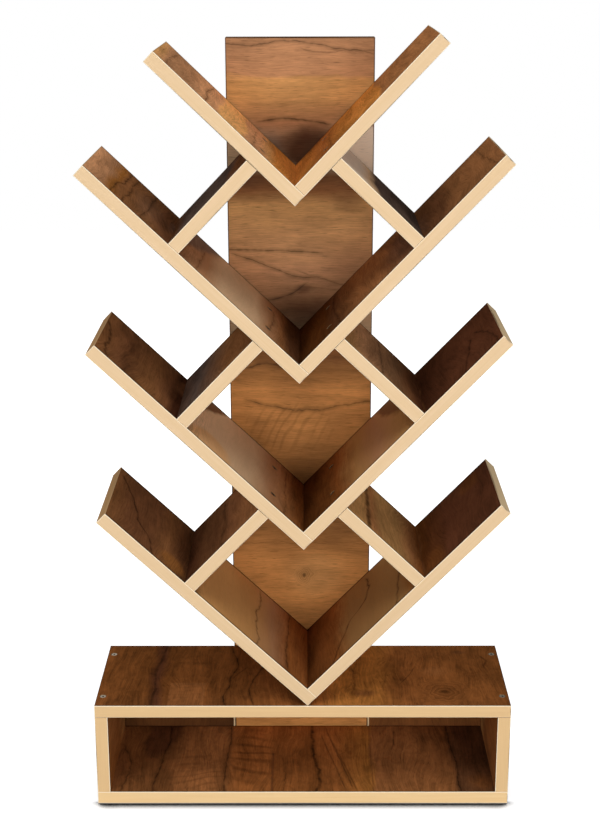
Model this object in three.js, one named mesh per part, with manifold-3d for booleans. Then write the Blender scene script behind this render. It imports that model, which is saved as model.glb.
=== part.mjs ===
// Tree shaped bookshelf: four tiers of V branches on a trunk board, standing on an open base box.
// Lengths are in millimetres. X runs to the right, Y from the front to the back and Z upwards.
// The origin is on the floor, in the middle of the base's width and of the overall depth.

import * as THREE from 'three';
import { mergeVertices } from 'three/addons/utils/BufferGeometryUtils.js';
import Module from 'manifold-3d';

// Sheet material that every board is cut from
const boardThickness = 16;
const arrisRadius = 0.8;
const shelfDepth = 175;

// Base box
const baseWidth = 517;
const baseHeight = 136;

// Trunk board, seen from the front: its width, how far it stands left of the base's middle,
// how far it rises above the lowest corner of the top tier, and the slot beside it in the base
const trunkWidth = 180;
const trunkShift = 2;
const trunkRise = 175;
const trunkSlot = 1.3;

// Branches: pairs of boards that meet square and form a V, one V above the other
const tierCount = 4;
const tierPitch = 207;
const armLength = 334;
const topArmLength = 230;
const strutReach = 189;
const branchShift = 6.5;
const branchTurn = THREE.MathUtils.degToRad(45);
const branchLean = THREE.MathUtils.degToRad(1.28);

// Countersunk chipboard screws
const screwLength = 40;
const screwShankDiameter = 4;
const screwHeadDiameter = 8;
const screwHeadRim = 0.4;
const screwPointLength = 5;
const screwSinking = 0.3;

// Places of the screws: from the front and back edges, how far apart screws that cross in one arm
// stand, and along an arm to its trunk screw
const branchScrewInset = 38;
const baseScrewInset = 27;
const crossedScrewSpacing = 12;
const trunkScrewReach = 75;
const trunkBaseScrewSpacing = 110;

// Clearances
const seam = 0.3;
const screwClearance = 0.3;
const cutOverrun = 1;

// Facets
const arrisSteps = 3;
const screwSides = 12;

// Sizes that follow from the ones above
const frontY = -(shelfDepth + seam + boardThickness) / 2;
const backY = frontY + shelfDepth;
const trunkFrontY = backY + seam;
const trunkBackY = trunkFrontY + boardThickness;
const trunkHeight = baseHeight + (tierCount - 1) * tierPitch + trunkRise;
const tierRiseAcross = tierPitch * Math.sin(branchTurn);
const tierRiseUp = tierPitch * Math.cos(branchTurn);
const shankRadius = screwShankDiameter / 2;
const headRadius = screwHeadDiameter / 2;
const cornerScrewInset = branchScrewInset - crossedScrewSpacing;

const walnut = { color: 0x5f3d20, roughness: 0.5, metalness: 0 };
const lightWalnut = { color: 0x9a6636, roughness: 0.5, metalness: 0 };
const zincSteel = { color: 0x8d8a82, roughness: 0.35, metalness: 0.9 };

const rightwards = new THREE.Vector3(1, 0, 0);
const leftwards = new THREE.Vector3(-1, 0, 0);
const backwards = new THREE.Vector3(0, 1, 0);
const forwards = new THREE.Vector3(0, -1, 0);
const upwards = new THREE.Vector3(0, 0, 1);
const downwards = new THREE.Vector3(0, 0, -1);

const wasm = await Module();
wasm.setup();

/** A closed solid for joining and cutting, from a closed geometry. */
function toSolid(geometry) {
  const bare = geometry.clone();
  bare.deleteAttribute('normal');
  bare.deleteAttribute('uv');
  const merged = mergeVertices(bare);
  const corners = merged.index.array;
  const kept = [];
  for (let i = 0; i < corners.length; i += 3) {
    const [a, b, c] = [corners[i], corners[i + 1], corners[i + 2]];
    if (a !== b && b !== c && c !== a) {
      kept.push(a, b, c);
    }
  }
  return new wasm.Manifold(new wasm.Mesh({
    numProp: 3,
    vertProperties: new Float32Array(merged.attributes.position.array),
    triVerts: new Uint32Array(kept),
  }));
}

/** The geometry of a solid that was joined or cut. */
function toGeometry(solid) {
  const mesh = solid.getMesh();
  const geometry = new THREE.BufferGeometry();
  geometry.setAttribute('position', new THREE.BufferAttribute(mesh.vertProperties, mesh.numProp));
  geometry.setIndex(new THREE.BufferAttribute(mesh.triVerts, 1));
  geometry.computeVertexNormals();
  return geometry;
}

/**
 * A board with eased long arrises: thickness along X, width along Y and length along Z,
 * from the origin.
 */
function boardGeometry(width, length) {
  const outline = new THREE.Shape();
  const r = arrisRadius;
  const quarter = Math.PI / 2;
  outline.moveTo(r, 0);
  outline.absarc(boardThickness - r, r, r, -quarter, 0);
  outline.absarc(boardThickness - r, width - r, r, 0, quarter);
  outline.absarc(r, width - r, r, quarter, 2 * quarter);
  outline.absarc(r, r, r, 2 * quarter, 3 * quarter);
  return new THREE.ExtrudeGeometry(outline, {
    depth: length,
    curveSegments: arrisSteps,
    bevelEnabled: false,
  });
}

/** A screw, or the hole for it, on the Y axis: the head's face at the origin, the point at +Y. */
function screwGeometry(clearance, overrun) {
  const coneEnd = screwHeadRim + headRadius - shankRadius;
  const profile = [
    new THREE.Vector2(0, -overrun),
    new THREE.Vector2(headRadius + clearance, -overrun),
    new THREE.Vector2(headRadius + clearance, screwHeadRim),
    new THREE.Vector2(shankRadius + clearance, coneEnd),
    new THREE.Vector2(shankRadius + clearance, screwLength - screwPointLength),
    new THREE.Vector2(0, screwLength + clearance),
  ];
  return new THREE.LatheGeometry(profile, screwSides);
}

const bookshelf = new THREE.Group();
const screwJoints = [];

function addBoard(parent, name, width, length, finish) {
  const board = new THREE.Mesh(boardGeometry(width, length), new THREE.MeshStandardMaterial(finish));
  board.name = name;
  parent.add(board);
  return board;
}

/** A board along X with its thickness along Z, from its lower left front corner. */
function addLyingBoard(parent, name, [x, y, z], length) {
  const board = addBoard(parent, name, shelfDepth, length, walnut);
  board.rotation.y = Math.PI / 2;
  board.position.set(x, y, z + boardThickness);
  return board;
}

/** A board along Z with its thickness along X, from its lower left front corner. */
function addStandingBoard(parent, name, [x, y, z], length) {
  const board = addBoard(parent, name, shelfDepth, length, walnut);
  board.position.set(x, y, z);
  return board;
}

/** An upright board that faces the front, from its lower left front corner. */
function addFacingBoard(parent, name, [x, y, z], width, height, finish) {
  const board = addBoard(parent, name, width, height, finish);
  board.rotation.z = -Math.PI / 2;
  board.position.set(x, y + boardThickness, z);
  return board;
}

/** The place of a screw that is driven from a point on a board's face, sunk below that face. */
function screwPlace(parent, [x, y, z], direction) {
  const place = new THREE.Group();
  place.position.set(x, y, z).addScaledVector(direction, screwSinking);
  place.quaternion.setFromUnitVectors(backwards, direction);
  parent.add(place);
  return place;
}

/** A loose screw that holds boards together. */
function driveScrew(parent, name, head, direction, boards) {
  const place = screwPlace(parent, head, direction);
  const screw = new THREE.Mesh(screwGeometry(0, 0), new THREE.MeshStandardMaterial(zincSteel));
  screw.name = name;
  place.add(screw);
  screwJoints.push({ place, boards });
}

/** A screw that is made in one with the board that its thread holds in. */
function driveFixedScrew(parent, head, direction, boards, carrier) {
  screwJoints.push({ place: screwPlace(parent, head, direction), boards, carrier });
}

/** Two screws across the depth of the shelves, as name ending and Y place. */
function screwPair(inset) {
  return [['front', frontY + inset], ['rear', backY - inset]];
}

function addTrunk() {
  const corner = [-trunkWidth / 2 - trunkShift, trunkFrontY, 0];
  return addFacingBoard(bookshelf, 'trunk', corner, trunkWidth, trunkHeight, lightWalnut);
}

function addBase(trunk) {
  const halfWidth = baseWidth / 2;
  const sideHeight = baseHeight - 2 * (boardThickness + seam);
  const sideZ = boardThickness + seam;
  const topZ = baseHeight - boardThickness;
  const bottom = addLyingBoard(bookshelf, 'base_bottom', [-halfWidth, frontY, 0], baseWidth);
  const top = addLyingBoard(bookshelf, 'base_top', [-halfWidth, frontY, topZ], baseWidth);
  const sides = {
    left: addStandingBoard(bookshelf, 'base_left_side', [-halfWidth, frontY, sideZ], sideHeight),
    right: addStandingBoard(
      bookshelf, 'base_right_side', [halfWidth - boardThickness, frontY, sideZ], sideHeight),
  };
  for (const [side, sign] of [['left', -1], ['right', 1]]) {
    const x = sign * (halfWidth - boardThickness / 2);
    for (const [end, y] of screwPair(baseScrewInset)) {
      driveScrew(bookshelf, `base_top_${side}_${end}_screw`,
        [x, y, baseHeight], downwards, [top, sides[side]]);
      driveScrew(bookshelf, `base_bottom_${side}_${end}_screw`,
        [x, y, 0], upwards, [bottom, sides[side]]);
    }
    const trunkScrewX = sign * trunkBaseScrewSpacing / 2 - trunkShift;
    driveScrew(bookshelf, `trunk_base_${side}_screw`,
      [trunkScrewX, trunkBackY, topZ + boardThickness / 2], forwards, [trunk, top]);
  }
  addBaseBack();
}

/** Two boards beside the trunk that close the back of the base, as high as the base top's underside. */
function addBaseBack() {
  const height = baseHeight - boardThickness;
  const leftWidth = (baseWidth - trunkWidth) / 2 - trunkShift - trunkSlot;
  const rightWidth = (baseWidth - trunkWidth) / 2 + trunkShift - trunkSlot;
  const leftCorner = [-baseWidth / 2, trunkFrontY, 0];
  const rightCorner = [baseWidth / 2 - rightWidth, trunkFrontY, 0];
  addFacingBoard(bookshelf, 'base_left_back', leftCorner, leftWidth, height, walnut);
  addFacingBoard(bookshelf, 'base_right_back', rightCorner, rightWidth, height, walnut);
}

/**
 * One tier in a frame turned so that its right arm lies along X and its left arm stands along Z,
 * with the V's lowest edge at the origin. The right arm butts on the left one.
 */
function addTier(branches, number) {
  const isTop = number === tierCount;
  const frame = new THREE.Group();
  frame.rotation.y = -branchTurn;
  frame.position.z = (number - 1) * tierPitch;
  branches.add(frame);
  const leftLength = isTop ? topArmLength : armLength + boardThickness;
  const rightLength = isTop ? topArmLength : armLength;
  const name = `tier_${number}`;
  const tier = { name, frame };
  const butt = boardThickness + seam;
  tier.leftArm = addStandingBoard(frame, `${name}_left_arm`, [0, frontY, 0], leftLength);
  tier.rightArm = addLyingBoard(frame, `${name}_right_arm`, [butt, frontY, 0], rightLength);
  if (!isTop) {
    addStruts(tier);
  }
  return tier;
}

/** Two struts that stand square on a tier's arms and carry the arms of the tier above. */
function addStruts(tier) {
  const foot = boardThickness + seam;
  const reach = boardThickness + strutReach;
  tier.leftStrut = addLyingBoard(
    tier.frame, `${tier.name}_left_strut`, [foot, frontY, reach], tierRiseAcross - foot - seam);
  tier.rightStrut = addStandingBoard(
    tier.frame, `${tier.name}_right_strut`, [reach, frontY, foot], tierRiseUp - foot - seam);
}

/** The screws at a tier's corner and from the trunk's back into its arms. */
function joinTier(tier, trunk) {
  const middle = boardThickness / 2;
  const reach = boardThickness + trunkScrewReach;
  for (const [end, y] of screwPair(cornerScrewInset)) {
    driveScrew(tier.frame, `${tier.name}_corner_${end}_screw`,
      [0, y, middle], rightwards, [tier.leftArm, tier.rightArm]);
  }
  driveScrew(tier.frame, `${tier.name}_left_trunk_screw`,
    [middle, trunkBackY, reach], forwards, [trunk, tier.leftArm]);
  driveScrew(tier.frame, `${tier.name}_right_trunk_screw`,
    [reach, trunkBackY, middle], forwards, [trunk, tier.rightArm]);
}

/** The screws at both ends of a tier's struts: loose ones at the top, fixed ones at the foot. */
function joinStruts(tier, tierAbove) {
  const middle = boardThickness + strutReach + boardThickness / 2;
  for (const [end, y] of screwPair(branchScrewInset)) {
    driveScrew(tier.frame, `${tier.leftStrut.name}_${end}_screw`,
      [tierRiseAcross + boardThickness, y, middle], leftwards, [tierAbove.leftArm, tier.leftStrut]);
    driveScrew(tier.frame, `${tier.rightStrut.name}_${end}_screw`,
      [middle, y, tierRiseUp + boardThickness], downwards, [tierAbove.rightArm, tier.rightStrut]);
    driveFixedScrew(tier.frame, [0, y, middle], rightwards, [tier.leftArm], tier.leftStrut);
    driveFixedScrew(tier.frame, [middle, y, 0], upwards, [tier.rightArm], tier.rightStrut);
  }
}

function addBranches(trunk) {
  const branches = new THREE.Group();
  branches.position.set(branchShift, 0, baseHeight + seam);
  branches.rotation.y = -branchLean;
  bookshelf.add(branches);
  const tiers = [];
  for (let number = 1; number <= tierCount; number += 1) {
    tiers.push(addTier(branches, number));
  }
  tiers.forEach((tier, index) => {
    joinTier(tier, trunk);
    if (tier.leftStrut) {
      joinStruts(tier, tiers[index + 1]);
    }
  });
}

/** Cuts the countersunk hole of every screw, and joins the fixed screws to their boards. */
function fitScrews() {
  bookshelf.updateMatrixWorld(true);
  const screw = screwGeometry(0, 0);
  const hole = screwGeometry(screwClearance, cutOverrun);
  const solids = new Map();
  const solidOf = (board) => solids.get(board) ?? toSolid(board.geometry);
  const placed = (geometry, place, board) => {
    const toBoard = board.matrixWorld.clone().invert().multiply(place.matrixWorld);
    return toSolid(geometry.clone().applyMatrix4(toBoard));
  };
  for (const { place, boards, carrier } of screwJoints) {
    for (const board of boards) {
      solids.set(board, solidOf(board).subtract(placed(hole, place, board)));
    }
    if (carrier) {
      solids.set(carrier, solidOf(carrier).add(placed(screw, place, carrier)));
    }
  }
  for (const [board, solid] of solids) {
    board.geometry = toGeometry(solid);
  }
}

const trunk = addTrunk();
addBase(trunk);
addBranches(trunk);
fitScrews();

export default bookshelf;
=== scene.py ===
import logging
import math
from dataclasses import dataclass, field
from enum import Enum, IntEnum
from itertools import combinations

import bmesh
import bpy
import numpy as np
from mathutils import Euler, Matrix, Vector


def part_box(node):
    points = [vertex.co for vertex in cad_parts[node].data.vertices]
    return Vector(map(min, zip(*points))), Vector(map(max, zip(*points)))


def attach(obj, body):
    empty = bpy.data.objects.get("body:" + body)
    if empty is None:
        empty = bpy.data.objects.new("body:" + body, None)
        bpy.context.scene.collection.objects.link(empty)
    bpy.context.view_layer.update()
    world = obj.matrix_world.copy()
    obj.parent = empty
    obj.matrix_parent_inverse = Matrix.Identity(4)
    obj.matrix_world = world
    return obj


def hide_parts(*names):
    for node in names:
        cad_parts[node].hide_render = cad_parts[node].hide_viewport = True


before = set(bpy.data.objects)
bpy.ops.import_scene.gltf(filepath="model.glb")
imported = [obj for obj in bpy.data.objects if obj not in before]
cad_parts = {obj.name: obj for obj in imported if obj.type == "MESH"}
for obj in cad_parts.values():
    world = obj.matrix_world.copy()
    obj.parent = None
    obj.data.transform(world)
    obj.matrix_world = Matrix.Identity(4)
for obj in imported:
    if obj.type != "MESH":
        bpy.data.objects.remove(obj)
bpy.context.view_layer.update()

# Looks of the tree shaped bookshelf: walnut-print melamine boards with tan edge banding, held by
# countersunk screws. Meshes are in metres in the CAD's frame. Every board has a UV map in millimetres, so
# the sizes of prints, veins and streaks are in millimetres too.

Material, Node, Tree = bpy.types.Material, bpy.types.Node, bpy.types.NodeTree
Object, Mesh, BMesh = bpy.types.Object, bpy.types.Mesh, bmesh.types.BMesh
Corners = dict[tuple[int, int, int], bmesh.types.BMVert]
Pair, Triple = tuple[float, float], tuple[float, float, float]

MM = 0.001
# Faces that are nearer to each other than this are flush, in metres.
FLUSH = 0.01 * MM
BODY = "root"
# The UV map of every board: mm across and along the grain.
SHEET_MAP = "sheet_mm"
# A shelf's size along the grain, in mm.
SHELF_DEPTH = 175.0
# What counts as 1 on a vein's curve, in mm.
CURVE_REACH = 200.0
BRANCH_TURN = math.radians(45)
BRANCH_LEAN = math.radians(1.28)

log = logging.getLogger("bookshelf")


def linear(hex_colour: str, light: float = 1.0) -> tuple[float, float, float, float]:
    """Turns an sRGB hex colour into linear values.

    Args:
        hex_colour: Six hex digits, such as "5f3d20".
        light: A factor on the linear values.

    Returns:
        Linear red, green and blue, and an alpha of 1.
    """
    parts = [int(hex_colour[i:i + 2], 16) / 255 for i in (0, 2, 4)]
    red, green, blue = (light * (c / 12.92 if c <= 0.04045 else ((c + 0.055) / 1.055) ** 2.4) for c in parts)
    return red, green, blue, 1.0


def add_node(tree: Tree, kind: str, *values: object, named: dict[str, object] | None = None,
             **settings: object) -> Node:
    """Adds a shader node with its settings and links.

    Args:
        tree: The node tree to add to.
        kind: The node's type, without its "ShaderNode" prefix.
        values: A number, colour, vector, socket or node for each input that the node shows, in order.
            None leaves an input as it is, and a node gives its first output.
        named: The same for inputs that are easier to find by name.
        settings: Properties of the node.

    Returns:
        The new node.
    """
    node = tree.nodes.new("ShaderNode" + kind)
    for name, setting in settings.items():
        setattr(node, name, setting)
    shown = [socket for socket in node.inputs if socket.enabled]
    pairs = [*zip(shown, values), *((node.inputs[name], value) for name, value in (named or {}).items())]
    for socket, value in pairs:
        if isinstance(value, Node):
            value = next(output for output in value.outputs if output.enabled)
        if isinstance(value, bpy.types.NodeSocket):
            tree.links.new(value, socket)
        elif value is not None:
            socket.default_value = value
    return node


def empty_material(name: str) -> tuple[Material, Tree]:
    """Makes a node material without nodes.

    Args:
        name: The material's name.

    Returns:
        The material and its node tree.
    """
    material = bpy.data.materials.new(name)
    material.use_nodes = True
    material.node_tree.nodes.clear()
    return material, material.node_tree


# ---------------------------------------------------------------------------------------------- finishes


class Tone(Enum):
    """The tones of the walnut print as sRGB hex, from dark heartwood to pale sapwood, and two painted sheens.
    """

    NIGHT = "5a3522"
    # No wood tone: a grey that paints a hazy reflection.
    SMOKE = "6a584e"
    BARK = "7d5133"
    UMBER = "7d4d2e"
    COCOA = "8f5f39"
    WALNUT = "8f5b33"
    CHESTNUT = "8e562b"
    HAZEL = "bf8a60"
    AMBER = "b87738"
    CARAMEL = "ca8a4c"
    HONEY = "cd975c"
    # Pale sapwood, also used to paint a hazy reflection.
    SAP = "e0b98f"
    # No wood tone: the palest, which paints a shine.
    BIRCH = "fadfc4"


@dataclass(frozen=True)
class Stop:
    """A tone of the print at one place across the grain.

    Attributes:
        place: The place in mm.
        tone: The tone.
        light: A factor on the tone's brightness.
    """

    place: float
    tone: Tone
    light: float = 1.0


@dataclass(frozen=True)
class Vein:
    """A dark line of the print, which runs along the grain with darker wood beside it.

    Attributes:
        course: The places that it runs through, in mm, across and along the grain. It fades beyond the
            first and last one where they aren't at the board's edges.
        width: Its width in mm.
        shade: The width of the darker wood on each side, in mm.
        depth: How dark it is, from 0 to 1.
        sway: How far it wavers to each side, in mm.
    """

    course: tuple[Pair, ...]
    width: float = 1.4
    shade: float = 7.0
    depth: float = 0.65
    sway: float = 1.5


@dataclass(frozen=True)
class Plank:
    """A strip of the print with straight, sharp edges, as if planks were joined there.

    Attributes:
        across: Where it starts and ends across the grain, in mm.
        along: Where it starts and ends along the grain, in mm.
        tone: Its tone.
        strength: How much of its tone it takes on, from 0 to 1.
        light: A factor on the tone's brightness.
    """

    across: Pair
    along: Pair
    tone: Tone
    strength: float = 0.6
    light: float = 1.0


@dataclass(frozen=True)
class Patch:
    """A soft-edged patch of another tone, such as sapwood or a stain, or painted shade or shine.

    Attributes:
        middle: Its middle in mm, across and along the grain.
        reach: Its half sizes in mm, across and along the grain.
        tone: Its tone.
        strength: How much of its tone it takes on, from 0 to 1.
        light: A factor on the tone's brightness.
        edge: How much of its reach is its soft edge, from 0 to 1.
        lean: How far it leans over in a shelf's depth along the grain, in mm.
        over: Whether it covers the streaks too, as a painted shine does.
    """

    middle: Pair
    reach: Pair
    tone: Tone
    strength: float = 0.8
    light: float = 1.0
    edge: float = 0.6
    lean: float = 0.0
    over: bool = False


@dataclass(frozen=True)
class Knot:
    """A knot, which the grain flows round.

    Attributes:
        middle: Its middle in mm, across and along the grain.
        radius: The radius of its dark rings, in mm.
    """

    middle: Pair
    radius: float = 15.0


@dataclass(frozen=True)
class Ripple:
    """Fiddleback figure: bands across the grain.

    Attributes:
        middle: Its middle in mm, across and along the grain.
        reach: Its half sizes in mm, across and along the grain.
        pitch: The spacing of the bands in mm.
        slant: How far the bands climb for each mm across the grain.
        depth: How strong it is, from 0 to 1.
    """

    middle: Pair
    reach: Pair
    pitch: float = 11.0
    slant: float = 0.25
    depth: float = 0.25


@dataclass(frozen=True)
class Print:
    """What the decor paper shows on one board, with some painted shade and sheen in its tones and patches.

    Attributes:
        stops: The tones across the grain.
        veins: The dark lines.
        planks: The strips with straight edges.
        patches: The patches of another tone.
        knots: The knots.
        ripples: The stretches of ripple figure.
        figure: How strong the growth lines are, from 0 to 1.
        bend: How far the grain bends to each side, in mm.
        contrast: A factor on the contrast of the streaks.
        mottle: How strong the curly blotches are, from 0 to 1.
        streaks: The width of the fine streaks in mm, and how many times longer they are.
        painted_sheen: A stretch across the grain where a painted sheen leaves the print nearly even, in mm.
        edge_lines: How dark the lines along the edges where the grain starts and ends are, from 0 to 1.
        edge_width: The width of these lines, in mm.
        depth: The board's size along the grain, in mm.
        seed: Picks the fine grain.
    """

    stops: tuple[Stop, ...]
    veins: tuple[Vein, ...] = ()
    planks: tuple[Plank, ...] = ()
    patches: tuple[Patch, ...] = ()
    knots: tuple[Knot, ...] = ()
    ripples: tuple[Ripple, ...] = ()
    figure: float = 0.12
    bend: float = 14.0
    contrast: float = 0.85
    mottle: float = 0.05
    streaks: Pair = (1.6, 28.0)
    painted_sheen: Pair = (0.0, 0.0)
    edge_lines: float = 0.7
    edge_width: float = 5.0
    depth: float = SHELF_DEPTH
    seed: float = 0.0


@dataclass
class PrintDrawing:
    """Draws a print's patterns as nodes, from the place on the sheet in mm.

    Attributes:
        tree: The node tree.
        cut: What the print shows.
        mark: The sRGB hex colour of veins, pores, knots and lines.
        broad_width: The width of the broad streaks, in mm.
        pore_width: The width of the pores. Real ones are 0.2 to 0.4 mm, drawn wider here so that they show.
        drawn_out: How many times longer than wide broad streaks and pores are.
        line_spacing: The spacing of the growth lines, in mm.
        line_share: The size of the areas with and without growth lines, in mm, and how many times longer
            they are.
        bends: The size of the grain's bends across and along the grain, in mm.
        arches: The size of the arches in which growth lines close, across and along the grain, in mm.
        arch_height: How far across the grain the arches reach, in mm.
        clouds: The size of the soft lighter and darker clouds across and along the grain, in mm.
        blotches: The size of the curly blotches across and along the grain, in mm.
        tone_edge: How loose the edges of the tones are: the size of the looseness across and along the
            grain, and its reach to each side, in mm.
        patch_edge: The same for patches.
        wobble: The size and reach of the wobble of a knot's rings, in mm.
        joint: Half the width of a plank's edge, in mm.
        waver: The length of a vein's wavers, in mm.
        vein_end: The length over which a vein ends, in mm.
        margin: How near a board's edge a vein runs on over it, in mm.
        painted_sheen_edge: How far the edge of the stretch with painted sheen reaches in and out, in mm.
        painted_sheen_share: How strong the streaks are in the stretch with painted sheen, from 0 to 1.
    """

    tree: Tree
    cut: Print
    mark: str = "1d1008"
    broad_width: float = 9.0
    pore_width: float = 1.0
    drawn_out: float = 16.0
    line_spacing: float = 6.0
    line_share: Pair = (30.0, 4.0)
    bends: Pair = (90.0, 210.0)
    arches: Pair = (55.0, 150.0)
    arch_height: float = 80.0
    clouds: Pair = (28.0, 60.0)
    blotches: Pair = (8.0, 15.0)
    tone_edge: Triple = (26.0, 70.0, 9.0)
    patch_edge: Triple = (14.0, 30.0, 7.0)
    wobble: Pair = (100 / 7, 6.0)
    joint: float = 0.8
    waver: float = 18.0
    vein_end: float = 10.0
    margin: float = 8.0
    painted_sheen_edge: Pair = (15.0, 5.0)
    painted_sheen_share: float = 0.2

    def __post_init__(self) -> None:
        """Reads the place on the sheet and bends the grain."""
        self.sheet = self.node("UVMap", uv_map=SHEET_MAP)
        place = self.node("SeparateXYZ", self.sheet)
        self.across, self.along = place.outputs[0], place.outputs[1]
        self.flow = self.bent_grain()

    def node(self, kind: str, *values: object, **more: object) -> Node:
        """Adds a node to this drawing's tree."""
        return add_node(self.tree, kind, *values, **more)

    def drift(self, size: Pair, start: Pair = (0.0, 0.0), **inputs: float) -> Node:
        """Gives soft, slow noise over the sheet.

        Args:
            size: The size of its forms across and along the grain, in mm.
            start: Where in the noise the sheet starts.
            inputs: The noise's other inputs by name, such as its detail.

        Returns:
            The noise node.
        """
        place = self.node("VectorMath", self.sheet, (1 / size[0], 1 / size[1], 0), (*start, 0),
                          operation="MULTIPLY_ADD")
        return self.node("TexNoise", place, named={"Scale": 1.0, **inputs}, noise_dimensions="2D")

    def bent_grain(self) -> Node:
        """Bends the place across the grain, slowly everywhere and in rings round the knots.

        Returns:
            The node that holds the bent place, in mm.
        """
        bend = self.drift(self.bends, (self.cut.seed, 0), Detail=2.0)
        shift = self.node("MapRange", bend, 0.0, 1.0, -2 * self.cut.bend, 2 * self.cut.bend)
        flow = self.node("Math", self.across, shift, operation="ADD")
        for knot in self.cut.knots:
            ring = self.ring(knot)
            pull = self.node("MapRange", ring, 0.8 * knot.radius, 2.6 * knot.radius, 1.0, 0.0,
                             interpolation_type="SMOOTHSTEP")
            flow = self.node("Mix", pull, flow, ring)
        return flow

    def ring(self, knot: Knot) -> Node:
        """Gives the distance from a knot's middle, a little wobbly.

        Args:
            knot: The knot.

        Returns:
            The node that holds the distance, in mm.
        """
        size, reach = self.wobble
        away = self.node("VectorMath", self.sheet, (*knot.middle, 0), operation="SUBTRACT")
        length = self.node("VectorMath", away, operation="LENGTH")
        wobble = self.node("TexNoise", away, named={"Scale": 1 / size, "Detail": 1.0}, noise_dimensions="2D")
        swing = self.node("MapRange", wobble, 0.0, 1.0, -reach, reach)
        return self.node("Math", length.outputs["Value"], swing, operation="ADD")

    def streaks(self, width: float, ratio: float, detail: float) -> Node:
        """Gives noise that is drawn out along the bent grain.

        Args:
            width: The width of a streak in mm.
            ratio: How many times longer than wide a streak is.
            detail: The noise's detail.

        Returns:
            The noise node.
        """
        grain = self.node("CombineXYZ", self.flow, self.along, self.cut.seed)
        drawn = self.node("VectorMath", grain, (1 / width, 1 / (width * ratio), 1), operation="MULTIPLY")
        return self.node("TexNoise", drawn, named={"Scale": 1.0, "Detail": detail, "Roughness": 0.55})

    def pores(self) -> Node:
        """Gives the mask of the pores, which are short, thin streaks."""
        return self.node("MapRange", self.streaks(self.pore_width, self.drawn_out, 1.0), 0.62, 0.74, 0.0, 0.4)

    def growth_lines(self) -> Node:
        """Draws thin growth lines as contours of slow noise, so that they flow, fork and close in arches.

        Returns:
            The node that holds the lines' mask.
        """
        hills = self.drift(self.arches, (0, self.cut.seed), Detail=2.0, Roughness=0.45)
        height = self.node("Math", hills, self.arch_height, self.flow, operation="MULTIPLY_ADD")
        count = self.node("Math", height, 1 / self.line_spacing, operation="MULTIPLY")
        saw = self.node("Math", count, operation="FRACT")
        lines = self.node("MapRange", saw, 0.6, 1.0, 0.0, self.cut.figure)
        share = self.node("MapRange", self.streaks(*self.line_share, 1.0), 0.45, 0.6, 0.1, 1.0)
        lines = self.node("Math", lines, share, operation="MULTIPLY")
        for knot in self.cut.knots:
            count = self.node("Math", self.ring(knot), 2.2 / knot.radius, operation="MULTIPLY")
            rings = self.node("Math", count, operation="FRACT")
            near = self.node("MapRange", self.ring(knot), knot.radius, 2.4 * knot.radius, 0.5, 0.0)
            rings = self.node("Math", rings, near, operation="MULTIPLY")
            lines = self.node("Math", lines, rings, operation="MAXIMUM")
        return lines

    def wander(self, looseness: Triple) -> Node:
        """Gives the place across the grain, loosened so that what is laid by it doesn't end straight.

        Args:
            looseness: The size of the looseness across and along the grain, and its reach to each side,
                in mm.

        Returns:
            The node that holds the loosened place, in mm.
        """
        wide, long, reach = looseness
        shift = self.node("MapRange", self.drift((wide, long), Detail=3.0), 0.0, 1.0, -reach, reach)
        return self.node("Math", self.across, shift, operation="ADD")

    def distance(self, place: bpy.types.NodeSocket, line: Node | float) -> Node:
        """Gives the distance of a place from a line, to either side."""
        away = self.node("Math", place, line, operation="SUBTRACT")
        return self.node("Math", away, operation="ABSOLUTE")

    def ground(self) -> Node:
        """Lays the print's tones across the grain.

        Returns:
            The node that holds the colour.
        """
        stops = self.cut.stops
        first, last = stops[0].place, stops[-1].place
        share = self.node("MapRange", self.wander(self.tone_edge), first, last, 0.0, 1.0)
        ramp = self.node("ValToRGB", share)
        points = ramp.color_ramp.elements
        points.remove(points[0])
        for index, stop in enumerate(stops):
            position = (stop.place - first) / (last - first)
            point = points[0] if index == 0 else points.new(position)
            point.position = position
            point.color = linear(stop.tone.value, stop.light)
        return ramp

    def within(self, middle: Pair, reach: Pair, edge: float, lean: float = 0.0) -> Node:
        """Masks a soft oval on the sheet.

        Args:
            middle: Its middle in mm, across and along the grain.
            reach: Its half sizes in mm.
            edge: How much of it is its soft edge, from 0 to 1.
            lean: How far it leans over in a shelf's depth along the grain, in mm.

        Returns:
            The node that holds the mask.
        """
        onward = self.node("Math", self.along, middle[1], operation="SUBTRACT")
        upright = self.node("Math", onward, -lean / SHELF_DEPTH, self.wander(self.patch_edge),
                            operation="MULTIPLY_ADD")
        loose = self.node("CombineXYZ", upright, self.along, 0.0)
        away = self.node("VectorMath", loose, (*middle, 0), operation="SUBTRACT")
        scaled = self.node("VectorMath", away, (1 / reach[0], 1 / reach[1], 0), operation="MULTIPLY")
        length = self.node("VectorMath", scaled, operation="LENGTH")
        return self.node("MapRange", length.outputs["Value"], 1 - edge, 1.0, 1.0, 0.0,
                         interpolation_type="SMOOTHSTEP")

    def inside(self, plank: Plank) -> Node:
        """Masks a plank with straight edges.

        Args:
            plank: The plank.

        Returns:
            The node that holds the mask.
        """
        masks = []
        for place, (low, high) in ((self.across, plank.across), (self.along, plank.along)):
            away, half = self.distance(place, (low + high) / 2), (high - low) / 2
            masks.append(self.node("MapRange", away, half - self.joint, half + self.joint, 1.0, 0.0))
        return self.node("Math", *masks, operation="MULTIPLY")

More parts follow.
